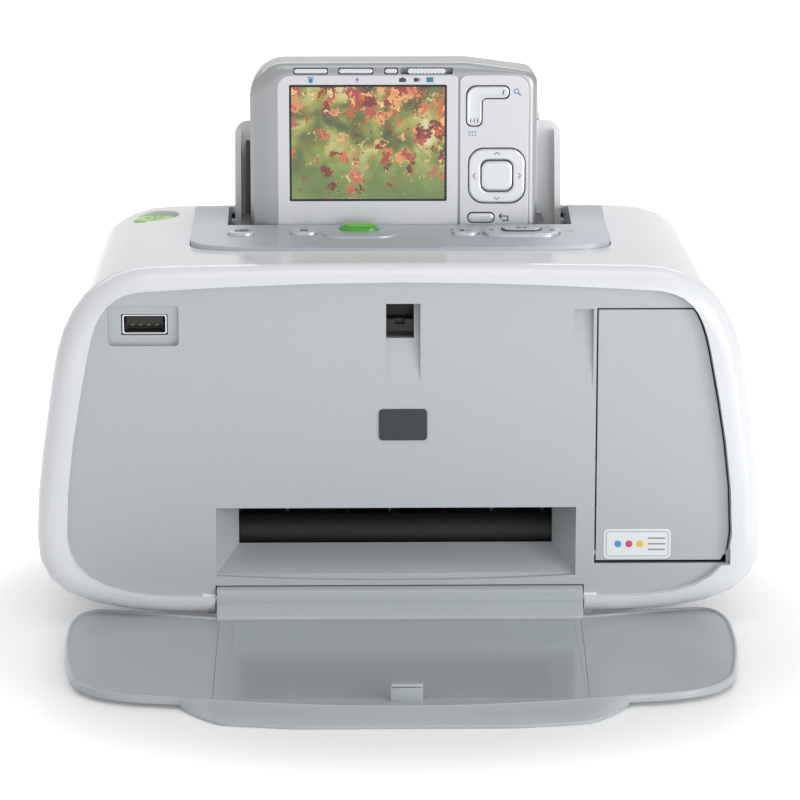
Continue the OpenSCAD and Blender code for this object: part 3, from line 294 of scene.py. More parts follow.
# ground rubber: dull black with the fine scratches of the wheel
ground_rubber = plastic("ground_roller_rubber", "#09090B", rough=0.7, grain_mm=0.3, bump=0.5,
                        shade=0.05)
# solder mask over a glass-fibre board: a glossy dark green, slightly mottled
board_mask = plastic("solder_masked_board", "#124A24", rough=0.3, grain_mm=0.5, bump=0.3,
                     shade=0.06)
for name, finish, slot, node, edge in (
        ("sheet_frame", zinc, "frame_steel", "chassis", 0.15),
        ("paper_bed", black_abs, "black_plastic", "platen", 0.2),
        ("star_wheel_beam", black_abs, "black_plastic", "star_wheel_bar", 0.2),
        ("guide_rod", ground_steel, "shaft_steel", "carriage_rod", 0.2),
        ("wiper_station", dark_abs, "dark_plastic", "service_station", 0.3),
        ("logic_board", board_mask, "board_green", "main_board", 0.1),
        ("carriage_drive", drawn_steel, "motor_steel", "carriage_motor", 0.5),
        ("feed_drive", drawn_steel, "motor_steel", "feed_motor", 0.5),
        ("toothed_belt", ground_rubber, "belt_rubber", "drive_belt", 0)):
    dressed(name, finish, "case", slot, node, edge=edge)

# ---- Rollers, gears and pulleys --------------------------
# Ground rubber sleeves on steel shafts, hobbed gears of natural acetal, a brass pinion and
# toothed pulleys of glass-filled nylon. Each turns on its own axis.
# natural acetal: creamy and faintly waxy, with the fine marks of the hob
acetal = plastic("hobbed_natural_acetal", "#DDDACB", rough=0.35, grain_mm=0.4, bump=0.1)
# glass-filled nylon: dull grey, clouded by its fibres
nylon = plastic("moulded_glass_filled_nylon", "#6E6E70", rough=0.5, grain_mm=0.3, bump=0.3,
                shade=0.04)
# cut brass: warm yellow with fine tool marks
brass = metal("cut_brass", "#C8A050", rough=0.3, grain_mm=0.3)
for name, finish, body, slot, node, edge in (
        ("drive_pulley", nylon, "motor_pulley", "pulley_plastic", "motor_pulley", 0.1),
        ("return_pulley", nylon, "idler_pulley", "pulley_plastic", "idler_pulley", 0.1),
        ("feed_rubber", ground_rubber, "feed_roller", "roller_rubber", "feed_roller", 0.2),
        ("feed_wheel", acetal, "feed_roller", "gear_plastic", "feed_gear", 0.1),
        ("pinion", brass, "feed_pinion", "pinion_brass", "feed_pinion", 0.05),
        ("idler", acetal, "idler_gear", "gear_plastic", "idler_gear", 0.1),
        ("exit_rubber", ground_rubber, "output_roller", "roller_rubber", "output_roller", 0.1),
        ("star_wheel_set", ground_steel, "star_wheels", "wheel_steel", "star_wheels", 0),
        ("pickup_rubber", ground_rubber, "pickup_roller", "roller_rubber", "pickup_roller", 0.2)):
    dressed(name, finish, body, slot, node, edge=edge)

# ---- Ink carriage ----------------------------------------
# A dark cradle that slides on the guide rod and holds one ink tank of welded polypropylene.
# welded polypropylene: dark, waxy and smooth
tank = plastic("moulded_polypropylene", "#1B1D24", rough=0.4, grain_mm=0.5, bump=0.1, shade=0.03)
dressed("ink_carriage", dark_abs, "carriage", "dark_plastic", "carriage", edge=0.3)
dressed("ink_tanks", tank, "carriage", "cartridge_blue", "ink_cartridge", edge=0.4)

# ---- Front moulding --------------------------------------
# One ABS moulding in satin silver lacquer, set behind the white rim: the paper exit with its
# ramp and cheeks, the finger scoop, the catch notch and the recess of the front socket.
# sprayed lacquer: a fine metallic flake, too small to see, and a soft sheen
silver_paint = plastic("satin_silver_lacquer", "#B3B9BC", rough=0.42, grain_mm=0.35, bump=0.06,
                       flake=0.25, metal=0.2, shade=0.008)
dressed("front_moulding", silver_paint, "case", "panel_silver", "front_panel", edge=0.4)
# the catch that holds the closed tray, in black: a real part, and its black is also painted shade for the
# dark depth of the notch
dressed("catch", black_abs, "case", "black_plastic", "latch_catch", edge=0.2)
# the bare plate in the middle: dark slate lacquer with a satin sheen
slate = plastic("slate_lacquer", "#242B30", rough=0.4, grain_mm=0.4, bump=0.04)
dressed("badge", slate, "case", "badge_slate", "badge_plate", edge=0.2)


# ---- Front socket ----------------------------------------
# A folded shell of nickel-plated sheet round a black tongue with four gold-plated contacts,
# soldered to a small board behind the front moulding.
def softened(corners, radius, steps=6):
    """An outline with its corners rounded; the radius is one number, or one for each corner."""
    line = []
    count = len(corners)
    for i in range(count):
        here = Vector(corners[i])
        back, ahead = Vector(corners[i - 1]) - here, Vector(corners[(i + 1) % count]) - here
        r = radius[i] if isinstance(radius, (list, tuple)) else radius
        half = back.angle(ahead) / 2
        reach = min(r / math.tan(half), 0.499 * back.length, 0.499 * ahead.length)
        middle = here + (back.normalized() + ahead.normalized()).normalized() * reach / math.cos(half)
        first = here + back.normalized() * reach - middle
        last = here + ahead.normalized() * reach - middle
        turn = (math.atan2(last.y, last.x) - math.atan2(first.y, first.x) + math.pi) % math.tau - math.pi
        for k in range(steps + 1):
            a = math.atan2(first.y, first.x) + turn * k / steps
            line.append(middle + first.length * Vector((math.cos(a), math.sin(a))))
    return line


def oblong(x, y, w, h, r, steps=6):
    """A rectangle with round corners about a middle point."""
    return softened([(x - w / 2, y - h / 2), (x + w / 2, y - h / 2), (x + w / 2, y + h / 2),
                     (x - w / 2, y + h / 2)], r, steps)


def drawn_in(line, d):
    """An anticlockwise outline moved inwards by d."""
    moved = []
    for i, here in enumerate(line):
        a = (Vector(here) - Vector(line[i - 1])).normalized()
        b = (Vector(line[(i + 1) % len(line)]) - Vector(here)).normalized()
        inward = Vector((-(a + b).y, (a + b).x)).normalized()
        moved.append(Vector(here) + inward * d / max(0.4, inward.dot(Vector((-a.y, a.x)))))
    return moved


def walls(bm, rows, finish=0):
    """Joins closed rows of points, each as long as the last, with quads."""
    skin = [[bm.verts.new(p) for p in row] for row in rows]
    for low, high in zip(skin, skin[1:]):
        for i in range(len(low)):
            j = (i + 1) % len(low)
            bm.faces.new((low[i], low[j], high[j], high[i])).material_index = finish
    return skin


def mould(bm, line, levels, place, finish=0):
    """A solid from an outline: one ring for each (inset, height) level, with both ends closed."""
    skin = walls(bm, [[place(p.x, p.y, h) for p in drawn_in(line, d)] for d, h in levels], finish)
    bm.faces.new(skin[0][::-1]).material_index = finish
    bm.faces.new(skin[-1]).material_index = finish


def closed(bm, rings, finish=0):
    """Fills the plane between closed rings of points."""
    loops = [bm.edges.get((ring[i], ring[i - 1])) for ring in rings for i in range(len(ring))]
    filled = bmesh.ops.triangle_fill(bm, use_beauty=True, use_dissolve=False, edges=loops)
    for f in filled["geom"]:
        if isinstance(f, bmesh.types.BMFace):
            f.material_index = finish


def plate(bm, line, holes, low, high, place, lip=0.12, finish=0):
    """A plate from low to high with holes through it and its upper edges rounded."""
    ends = []
    for outline, way in [(line, 1)] + [(hole, -1) for hole in holes]:
        levels = ((0, low), (0, high - lip), (way * lip * 0.3, high - lip * 0.3), (way * lip, high),
                  (way * lip * 1.5, high))
        skin = walls(bm, [[place(p.x, p.y, h) for p in drawn_in(outline, d)] for d, h in levels], finish)
        ends.append((skin[0], skin[-1]))
    for rings in zip(*ends):
        closed(bm, rings, finish)


def finished(name, bm, finishes, body, slot, *cad):
    """A piece from mesh code in millimetres, fastened to its body, smooth but for its creases."""
    piece = fit(flesh(name, bm, finishes, MM), body, slot, *cad)
    for p in piece.data.polygons:
        p.use_smooth = True
    piece.data.set_sharp_from_angle(angle=math.radians(CREASE))


def repeated(name, seed, finish, count, step):
    """Geometry Nodes: a straight row of copies of a small seed shape, as one plain mesh."""
    rows = bpy.data.node_groups.new("row_of_" + name, "GeometryNodeTree")
    rows.is_modifier = True
    for label, way, kind in (("Geometry", "INPUT", "Geometry"), ("Count", "INPUT", "Int"),
                             ("Step", "INPUT", "Vector"), ("Finish", "INPUT", "Material"),
                             ("Geometry", "OUTPUT", "Geometry")):
        rows.interface.new_socket(label, in_out=way, socket_type="NodeSocket" + kind)
    given = add(rows, "NodeGroupInput")
    line = add(rows, "GeometryNodeMeshLine",
               {"Count": given.outputs["Count"], "Offset": given.outputs["Step"]})
    copies = add(rows, "GeometryNodeInstanceOnPoints", {"Points": line.outputs[0],
                 "Instance": given.outputs["Geometry"]})
    real = add(rows, "GeometryNodeRealizeInstances", {"Geometry": copies.outputs[0]})
    done = add(rows, "GeometryNodeSetMaterial", {"Geometry": real.outputs[0],
               "Material": given.outputs["Finish"]})
    add(rows, "NodeGroupOutput", {"Geometry": done.outputs[0]})
    piece = flesh(name, seed, [finish], MM)
    maker = piece.modifiers.new("row", "NODES")
    maker.node_group = rows
    values = {"Count": count, "Step": [s * MM for s in step], "Finish": finish}
    for item in rows.interface.items_tree:
        if item.in_out == "INPUT" and item.name in values:
            maker[item.identifier] = values[item.name]
    return settle(piece)


# bright nickel on folded sheet, and hard gold on the contacts
nickel = metal("nickel_plated_sheet", "#C9C9CC", rough=0.18, grain_mm=0.3)
gold = metal("gold_plated_contacts", "#D4AF5A", rough=0.25, grain_mm=0.2)
# X, depth and Z of the port's back, and the width, height and wall of its shell
PORT = (-78.0, 10, 94.7)
SHELL_W, SHELL_H, SHELL_WALL = 13.6, 6.0, 0.45


def into_front(x, z, h):
    """Socket drawing: X, Z from the port's middle, and height h towards the viewer."""
    return (PORT[0] + x, PORT[1] - h, PORT[2] + z)


bm = bmesh.new()
plate(bm, oblong(0, 0, SHELL_W, SHELL_H, 0.7),
      [oblong(0, 0, SHELL_W - 2 * SHELL_WALL, SHELL_H - 2 * SHELL_WALL, 0.5)], 0, 7.6, into_front, 0.1)
# the floor of the socket, its tongue and the step under it
mould(bm, oblong(0, 0, 12.8, 5.2, 0.4), [(0, 1), (0, 3.2)], into_front, 1)
mould(bm, oblong(0, 1.1, 11.2, 2.7, 0.2), [(0, 2), (0, 6.9), (0.15, 7.05)], into_front, 1)
mould(bm, oblong(0, -2.35, 9.6, 0.24, 0.05), [(0, 3), (0, 6.4)], into_front, 1)
finished("front_socket", bm, [nickel, black_abs], "case", "socket_steel", "front_usb_socket")
bm = bmesh.new()
mould(bm, oblong(-3.75, -0.3, 1.0, 0.16, 0.05, 2), [(0, 3), (0, 6.6)], into_front)
fit(repeated("front_contacts", bm, gold, 4, (2.5, 0, 0)), "case", "socket_steel")

# ---- Back panel and its sockets --------------------------
# A cover in the same silver lacquer, clipped in from behind, with air slots over the board, a
# square data socket of nickel-plated sheet and a black power inlet.
dressed("back_moulding", silver_paint, "case", "panel_silver", "rear_panel", edge=0.6)
dressed("rear_socket", nickel, "case", "socket_steel", "rear_usb_socket", edge=0.1)
dressed("power_inlet", black_abs, "case", "black_plastic", "power_socket", edge=0.2)

# ---- Output tray -----------------------------------------
# The front cover of the printer, let down flat: two wings with a raised bead round the edge, a
# round neck on steel pins, a lip that slopes to the table and a tab for the catch, all one
# glossy moulding in silver-grey ABS. Its middle is a polished panel snapped in from below.
# smooth ABS: a soft gloss over a barely rippled surface
tray_abs = plastic("smooth_silver_grey_abs", "#ACB3B7", rough=0.24, grain_mm=1.5, bump=0.03,
                   shade=0.01)
# polished acrylic: clearer reflections than the wings
smoke = plastic("polished_smoke_grey_acrylic", "#ABB2B7", rough=0.14, grain_mm=2.5, bump=0.02,
                shade=0.01)
# working depths in plan are this much more than those of the frame
RIM = 3
# the tray's reach in front of the rim, what X squared is divided by for the bow of that edge, the
# height of its floor, its hinge line as depth and height, and the neck on it
TRAY_FRONT, TRAY_BOW = 94.1, 444
TRAY_TOP = 3.2
HINGE = (4.0, 8.0)
NECK_R, NECK_HALF = 4.2, 56.8


def bend(a, b, c, d, n):
    """n points of a Bezier curve after its first one."""
    a, b, c, d = map(Vector, (a, b, c, d))
    return [(1 - t) ** 3 * a + 3 * (1 - t) ** 2 * t * b + 3 * (1 - t) * t * t * c + t ** 3 * d
            for t in (k / n for k in range(1, n + 1))]


def level_place(x, y, h):
    """Drawing in plan, in working depths, moved to the frame."""
    return (x, y - RIM, h)


half = [Vector((x, -TRAY_FRONT + x * x / TRAY_BOW)) for x in range(0, 72, 6)]
half += bend((66, -84.3), (84, -82.2), (95.4, -77), (97.9, -57), 14)
half += bend((97.9, -57), (100.5, -42), (101.8, -28), (101.8, -12), 6)
half += bend((101.8, -12), (101.8, 1), (99, 8.5), (93, 8.5), 12)
half += bend((93, 8.5), (85, 7.6), (70, 2.6), (57.8, -0.6), 10)
half += [Vector((54.8, -0.6)), Vector((54.8, 1)), Vector((0, 1))]
plan = half + [Vector((-p.x, p.y)) for p in half[-2:0:-1]]
window = softened([(-54.8, -86), (52.6, -86), (56, -3.2), (-56, -3.2)], 0.6, 3)
bead = ((0.45, 1.1), (0, 1.5), (0, 3.1), (0.1, 3.42), (0.35, 3.64), (0.7, 3.72), (1.05, 3.64), (1.3, 3.4),
        (1.42, 3.26), (1.6, TRAY_TOP), (1.9, TRAY_TOP))
bm = bmesh.new()
skin = walls(bm, [[level_place(p.x, p.y, h) for p in drawn_in(plan, d)] for d, h in bead])
sides = walls(bm, [[level_place(p.x, p.y, h) for p in drawn_in(window, d)]
                   for d, h in ((0, 1.1), (0, 3.1), (-0.04, 3.17), (-0.12, TRAY_TOP), (-0.3, TRAY_TOP))])
closed(bm, (skin[0], sides[0]))
closed(bm, (skin[-1], sides[-1]))
turns = [math.radians(a) for a in range(74, 190, 8)]
neck = [Vector((HINGE[0] + NECK_R * math.cos(a), HINGE[1] + NECK_R * math.sin(a))) for a in turns]
neck += [Vector(p) for p in ((-0.5, 6.6), (-1.0, 5.8), (-1.5, 5.0), (-2.0, 4.3), (-2.5, 3.75),
                             (-2.9, 3.4), (-3.15, 3.24), (-3.15, 1.4), (2.6, 1.2), (5.2, 4.2))]
mould(bm, neck, [(0.3, -NECK_HALF), (0, 0.3 - NECK_HALF), (0, NECK_HALF - 0.3), (0.3, NECK_HALF)],
      lambda y, z, h: (h, y - RIM, z))
# the lip: a skirt that starts at the bead and meets the table on a wider curve
sections = []
for k in range(65):
    x = -64.0 + 2 * k
    back = -TRAY_FRONT + x * x / TRAY_BOW
    end = max(0.0, (abs(x) - 40) / 24.5)
    front = max(-106 + x * x / 468, -104 + 20 * end ** 2.3)
    w = max(0.3, back - front)
    e = min(1.0, w / 3)
    sections.append([(x, y - RIM, z) for y, z in (
        (back + 1.3, 3.3), (back + 1.1, 3.6), (back + 0.8, 3.72), (back + 0.3, 3.72), (back + 0.1, 3.68),
        (back, 3.58), (back - 0.2 * e, 3.5), (back - 0.5 * w, 2.36), (front + 0.5 * e, 1.06),
        (front + 0.2 * e, 0.92), (front + 0.05 * e, 0.75), (front, 0.5), (front + 0.1 * e, 0.12),
        (front + 0.4 * e, 0.0), (front + 0.35 * w, 0.0), (back + 0.6, 1.2), (back + 1.3, 1.4))])
skirt = walls(bm, sections)
bm.faces.new(skirt[0])
bm.faces.new(skirt[-1])
# the tab for the catch: three walls and a roof, open towards the printer
mould(bm, softened([(-4.1, -88.3), (5.1, -88.3), (5.1, -84.3), (4.1, -84.3), (4.1, -87.1), (-3.1, -87.1),
                    (-3.1, -84.3), (-4.1, -84.3)], 0.25, 3), [(0, 3), (0, 7.5)], level_place)
mould(bm, softened([(-4.1, -88.3), (5.1, -88.3), (5.1, -84.3), (-4.1, -84.3)], 0.35, 4),
      [(0, 7.3), (0, 8.0), (0.1, 8.2), (0.3, 8.3), (0.5, 8.3)], level_place)
finished("tray", bm, [tray_abs], "output_tray", "tray_silver", "output_tray")

bm = bmesh.new()
mould(bm, drawn_in(window, 0.05), [(0, 1.3), (0, 3.1), (0.04, 3.17), (0.12, TRAY_TOP), (0.3, TRAY_TOP)],
      level_place)
# two fine ribs at the left seam and one at the right, from their X at the back to that in front
for x0, x1 in ((-52.3, -50.6), (-51.4, -49.9), (53.6, 52.2)):
    rib = [(x0 - 0.15, -5), (x1 - 0.15, -85), (x1 + 0.15, -85), (x0 + 0.15, -5)]
    mould(bm, softened(rib, 0.1, 2), [(0, 3.1), (0, 3.22), (0.08, 3.26)], level_place)
# a small stud behind the tab
mould(bm, oblong(2.4, -79, 1.1, 1.1, 0.5), [(0, 3.1), (0, 3.3), (0.2, 3.45), (0.4, 3.5)], level_place)
finished("tray_middle", bm, [smoke], "output_tray", "tray_smoke", "tray_centre_panel")
dressed("tray_pins", ground_steel, "output_tray", "shaft_steel", "tray_hinge_pins", edge=0.1)

# ---- Ink door --------------------------------------------
# A curved door in the same lacquer as the front, on two pins at its foot. The film label in its
# lower corner is bare but for a frame, three dots in the ink colours and three grey bars.
dressed("cartridge_door", silver_paint, "ink_door", "panel_silver", "ink_door", edge=0.3)
# printed film: smooth white with a faint sheen
film = plastic("white_label_film", "#E9ECEE", rough=0.35, grain_mm=0.8, bump=0.02, shade=0.004)
# printed inks: flat, and a little duller than the film under them
inks = [plastic("printed_%s_ink" % name, colour, rough=0.4, grain_mm=0.3, bump=0.03) for name, colour in (
    ("cyan", "#3AA3CF"), ("magenta", "#CE4C86"), ("yellow", "#E6C94A"), ("grey", "#8E959B"))]
# the depth of the door's face, the middle of the label, the levels of its print, and the number
# of the ink of its frame and bars
DOOR_Y = 0.2
LABEL = (73.6, 25.4)
PRINTED = [(0, 0.14), (0, 0.17)]
GREY = 4


def on_door(x, z, h):
    """Label drawing: X, Z and height h towards the viewer from the door's face."""
    return (x, DOOR_Y - h, z)


bm = bmesh.new()
mould(bm, oblong(*LABEL, 20.8, 9.4, 1.5), [(0, -0.1), (0, 0.11), (0.04, 0.15), (0.2, 0.15)], on_door)
plate(bm, oblong(*LABEL, 19.4, 8.0, 1.0), [oblong(*LABEL, 19.0, 7.6, 0.8)], 0.14, 0.17, on_door,
      lip=0.01, finish=GREY)
for k in (0, 1, 2):
    mould(bm, oblong(67.6 + 3.4 * k, LABEL[1], 2.2, 2.2, 1.05), PRINTED, on_door, k + 1)
for k in (0, 1, 2):
    mould(bm, oblong(79.6, 23.6 + 1.8 * k, 5.4, 0.5, 0.2), PRINTED, on_door, GREY)
finished("door_label", bm, [film] + inks, "ink_door", "label_film", "ink_label")

# ---- Control deck ----------------------------------------
# The sloping deck in front of the dock, in a bluer silver lacquer, with shoulders at both ends.
# Its keys stand a millimetre proud in fine gaps, and a small lamp sits in a slit at the right.
# sprayed lacquer: bluer than the front, with the same fine flake and a softer sheen
deck_paint = plastic("satin_blue_silver_lacquer", "#B3BAC1", rough=0.36, grain_mm=0.35, bump=0.06,
                     flake=0.25, metal=0.2, shade=0.008)
# diffusing polycarbonate, dark while the lamp is off
lamp_window = plastic("unlit_diffusing_polycarbonate", "#4A5A48", rough=0.3, grain_mm=0.4, bump=0.05)
dressed("control_deck", deck_paint, "case", "console_silver", "console", edge=0.4)
dressed("lamp", lamp_window, "case", "led_clear", "status_led", edge=0.05)
# pad-printed signs: a flat dark grey ink
sign_ink = plastic("pad_printed_dark_ink", "#2C3034", rough=0.5, grain_mm=0.3, bump=0.05)
# polished green cap: a deep gloss. Its raised middle is the same ABS painted a lighter green, a painted
# highlight for the light on its top
green_abs = plastic("polished_green_abs", "#45A22E", rough=0.2, grain_mm=0.6, bump=0.03)
green_painted_highlight = plastic("polished_green_abs_painted_highlight", "#58B83A", rough=0.2, grain_mm=0.6, bump=0.03)
# key caps in the deck's lacquer with a clear coat over it
key_paint = plastic("clear_coated_silver_lacquer", "#B6BDC3", rough=0.28, grain_mm=0.4, bump=0.04,
                    flake=0.25, metal=0.2, coat=0.4)
# a working depth on the deck, its height there, and its slope in degrees
DECK_AT, DECK_Z, DECK_SLOPE = 24.2, 115, 4.2


def on_deck(x, y, h):
    """Drawing on the deck's slope: X, working depth Y, and height h over the slope."""
    return (x, y - RIM, DECK_Z + math.tan(math.radians(DECK_SLOPE)) * (y - DECK_AT) + h)


def stroke(a, b, w):
    """The outline of a straight line with a width."""
    a, b = Vector(a), Vector(b)
    side = Vector((a.y - b.y, b.x - a.x)).normalized() * w / 2
    return [a - side, b - side, b + side, a + side]


def key_cap(name, node, x, y, w, d, signs):
    """A sloping key: a pill outline with a rounded top edge, and printed strokes on it."""
    bm = bmesh.new()
    top = 1.1
    mould(bm, oblong(x, y, w, d, min(w, d) / 2 - 0.05, 8), [(0, -5.5), (0, top - 0.35), (0.1, top - 0.12),
          (0.32, top), (0.7, top)], on_deck)
    for a, b in signs:
        mould(bm, stroke((x + a[0], y + a[1]), (x + b[0], y + b[1]), 0.45),
              [(0, top - 0.05), (0, top + 0.05)], on_deck, 1)
    finished(name, bm, [key_paint, sign_ink], node, "button_silver", node)


# an eye with a stroke through it, a cross and an arrow
key_cap("photo_fix_key", "photo_fix_button", -49.5, 43.4, 8, 5.4, [
    ((-2.2, 0), (-1.1, 0.9)), ((-1.1, 0.9), (1.1, 0.9)), ((1.1, 0.9), (2.2, 0)), ((-2.2, 0), (-1.1, -0.9)),
    ((-1.1, -0.9), (1.1, -0.9)), ((1.1, -0.9), (2.2, 0)), ((-1.6, -1.5), (1.6, 1.5))])
key_cap("cancel_key", "cancel_button", -29.6, 44, 8, 5.2, [
    ((-1.2, -1.4), (1.2, 1.4)), ((-1.2, 1.4), (1.2, -1.4))])
key_cap("back_key", "back_button", 21.4, 43.2, 8.2, 5.6, [
    ((-1.8, 0), (1.8, 0)), ((-1.8, 0), (-0.6, 1.2)), ((-1.8, 0), (-0.6, -1.2))])
bm = bmesh.new()
mould(bm, oblong(-12.2, 47.6, 12, 6.4, 3.15, 8),
      [(0, -5.5), (0, 1.3), (0.12, 1.55), (0.5, 1.68), (1.0, 1.7)], on_deck)
# the raised middle, in the lighter green of the painted highlight
mould(bm, oblong(-12.2, 47.8, 9.4, 4.2, 2.05, 8),
      [(0, 1.5), (0, 1.9), (0.15, 2.1), (0.5, 2.2), (0.9, 2.2)], on_deck, 1)
finished("print_key", bm, [green_abs, green_painted_highlight], "print_button", "button_green", "print_button")
# the rocker tips left and right on a pin, with a grey pill inlaid in a dark ring
ROCKER, PILL = (39.2, 43.6), (39.2, 44.4)
bm = bmesh.new()
mould(bm, oblong(*ROCKER, 24, 11.6, 5.75, 10),
      [(0, -5.2), (0, 0.75), (0.12, 1.0), (0.45, 1.1), (1.0, 1.1)], on_deck)
mould(bm, oblong(*PILL, 13, 5.8, 2.85, 8), [(0, 1.0), (0, 1.3), (0.1, 1.36)], on_deck, 1)
mould(bm, oblong(*PILL, 11.8, 4.6, 2.25, 8),
      [(0, 1.2), (0, 1.6), (0.15, 1.74), (0.5, 1.8), (0.9, 1.8)], on_deck)
mould(bm, oblong(*PILL, 3.4, 3.0, 1.4, 8), [(0, 1.7), (0, 1.86)], on_deck, 1)
mould(bm, oblong(*PILL, 2.6, 2.2, 1.0, 8), [(0, 1.8), (0, 1.9)], on_deck)
for arrow in ([(-10.5, 0), (-9.1, -0.9), (-9.1, 0.9)], [(9.1, -0.9), (10.5, 0), (9.1, 0.9)]):
    mould(bm, [Vector((ROCKER[0] + x, ROCKER[1] + y)) for x, y in arrow], [(0, 1.05), (0, 1.15)],
          on_deck, 1)
# the pin that it tips on
mould(bm, oblong(*ROCKER, 1.4, 13, 0.6, 3), [(0, -2.0), (0, -0.9)], on_deck)
finished("rocker_key", bm, [key_paint, sign_ink], "nav_rocker", "button_silver", "nav_rocker")
# a dark receiver window beside the back key, set flush in the deck
bm = bmesh.new()
mould(bm, oblong(17.4, 48.6, 1.3, 0.8, 0.35), [(0, -0.4), (0, 0.05), (0.1, 0.08)], on_deck)
finished("receiver_window", bm, [sign_ink], "case", "dark_plastic")

# ---- Power key -------------------------------------------
# A round cap of lime ABS in a shallow white dish on the left shoulder of the case, with the
# common ring-and-bar sign for power.
# polished ABS: glossy lime, with its sign printed a tone darker
lime_abs = plastic("polished_lime_abs", "#97CF4E", rough=0.22, grain_mm=0.6, bump=0.03)
lime_ink = plastic("printed_dark_lime_ink", "#6FA838", rough=0.4, grain_mm=0.3, bump=0.03)
# the key's middle, how much its face leans to the side and lies lower, and from what height
POWER = (-79.2, 86.0)
LEAN, DROP, LEANS_FROM = 0.055, 0.35, 113


def on_power(x, y, h):
    """Drawing on the power key: X and Y from its middle, height over the table. Its face leans
    with the shoulder of the case."""
    lean = LEAN * x - DROP if h > LEANS_FROM else 0
    return (POWER[0] + x, POWER[1] - RIM + y, h + lean)


bm = bmesh.new()
mould(bm, oblong(0, 0, 13, 13, 6.49, 12), [(0, 109.6), (0, 115.0), (0.2, 115.3), (0.7, 115.44),
      (1.6, 115.5), (2.4, 115.5)], on_power)
ring = [(2.6 * math.sin(math.radians(a)), 2.6 * math.cos(math.radians(a))) for a in range(40, 321, 20)]
for a, b in list(zip(ring, ring[1:])) + [((0, 0.4), (0, 3.4))]:
    mould(bm, stroke(a, b, 0.6), [(0, 115.4), (0, 115.55)], on_power, 1)
finished("power_key", bm, [lime_abs, lime_ink], "power_button", "button_lime", "power_button")

# ---- Paper input -----------------------------------------
# The upright tray behind the dock in translucent white ABS with side walls, and a dark guide
# that slides along its foot to the edge of the paper.
# frosted ABS: near white, with a fine even grain that dulls its sheen
frost = plastic("frosted_white_abs", "#EDEEF0", rough=0.35, grain_mm=0.5, bump=0.08, shade=0.01)
dressed("paper_rest", frost, "input_tray", "feeder_white", "input_tray", edge=0.4)
dressed("side_guide", dark_abs, "paper_guide", "dark_plastic", "paper_guide", edge=0.3)

# ---- Dock ------------------------------------------------
# A dark well in the top of the printer with the plug that the camera sits down on.
dressed("dock_well", dark_abs, "case", "dark_plastic", "dock_cradle", edge=0.4)
dressed("dock_plug", black_abs, "case", "black_plastic", "dock_connector", edge=0.15)

# ---- Camera shells ---------------------------------------
# A compact camera stands in the dock with its back to the viewer. Its two half shells are
# pressed aluminium in satin grey, rounded all round, with a steel eye for the strap.
# anodised aluminium: satin grey with a fine blasted grain
grey_shell = plastic("satin_grey_anodised_aluminium", "#999B9D", rough=0.33, grain_mm=0.3,
                     bump=0.08, metal=0.6, shade=0.01)
dressed("camera_shell", grey_shell, "camera", "camera_grey", "camera_front", edge=0.5, crease=30)
dressed("camera_back_shell", grey_shell, "camera", "camera_silver", "camera_back", edge=0.2, crease=30)
bm = bmesh.new()
for y in (61.5, 66.5):
    mould(bm, oblong(0, 0, 2.6, 2.6, 1.25), [(0, 44.2), (0, 45.3), (0.3, 45.7), (0.6, 45.8)],
          lambda u, v, h: (h, y + u, 151 + v))
mould(bm, oblong(64, 151, 5.4, 9.4, 1.9), [(0, 44.2), (0, 44.95), (0.3, 45.2), (0.8, 45.3)],
      lambda u, v, h: (h, u, v))
finished("strap_eye", bm, [nickel], "camera", "camera_button")

# ---- Camera face -----------------------------------------
# Two plates in bright silver with a groove between them. The left one frames the display, the
# right one has openings for the zoom rocker, the four-way pad and the menu key.
# blasted aluminium: pale, with an even fine sparkle
silver_plate = plastic("bright_blasted_aluminium", "#C8C9CD", rough=0.34, grain_mm=0.25, bump=0.06,
                       flake=0.2, metal=0.35, shade=0.006)
# the depth of the face, the foot and top of its plates, and where the display and keys are
FACE_Y = 54
FACE_LOW, FACE_HIGH = 109.8, 165.0
DISPLAY = (-9.25, 143.4)
ZOOM, NAV, MENU = (22.1, 148.9), (31.8, 132.9), (26.8, 119.4)


def on_face(x, z, h):
    """Drawing on the camera's back: X, Z and height h towards the viewer."""
    return (x, FACE_Y - h, z)


def zoom_line(grow):
    """The outline of the L-shaped zoom rocker, grown all round."""
    x, z, g = ZOOM[0], ZOOM[1], grow
    stem, arm, under, over = x + 4.8 + g, x + 13.4 + g, z + 8.8 - g, z + 12.6 + g
    line = [(x - g, z - g), (stem, z - g), (stem, under), (arm, under), (arm, over), (x - g, over)]
    return softened(line, [1.9, 1.9, 1.2, 1.7, 1.7, 3.4], 6)


bm = bmesh.new()
plate(bm, softened([(-38.0, FACE_LOW), (19.25, FACE_LOW), (19.25, FACE_HIGH), (-38.0, FACE_HIGH)],
                   [4.2, 0.5, 1.4, 4.2]), [oblong(*DISPLAY, 50.1, 37.2, 0.4, 3)], -0.3, 0.25, on_face)
plate(bm, softened([(20.05, FACE_LOW), (41.8, FACE_LOW), (41.8, FACE_HIGH), (20.05, FACE_HIGH)],
                   [0.5, 4.2, 4.2, 2.4]),
      [zoom_line(0.3), oblong(*NAV, 18.4, 18.0, 5), oblong(*MENU, 8.8, 3.6, 1.6)], -0.3, 0.25, on_face)
finished("camera_face_plates", bm, [silver_plate], "camera", "camera_silver")

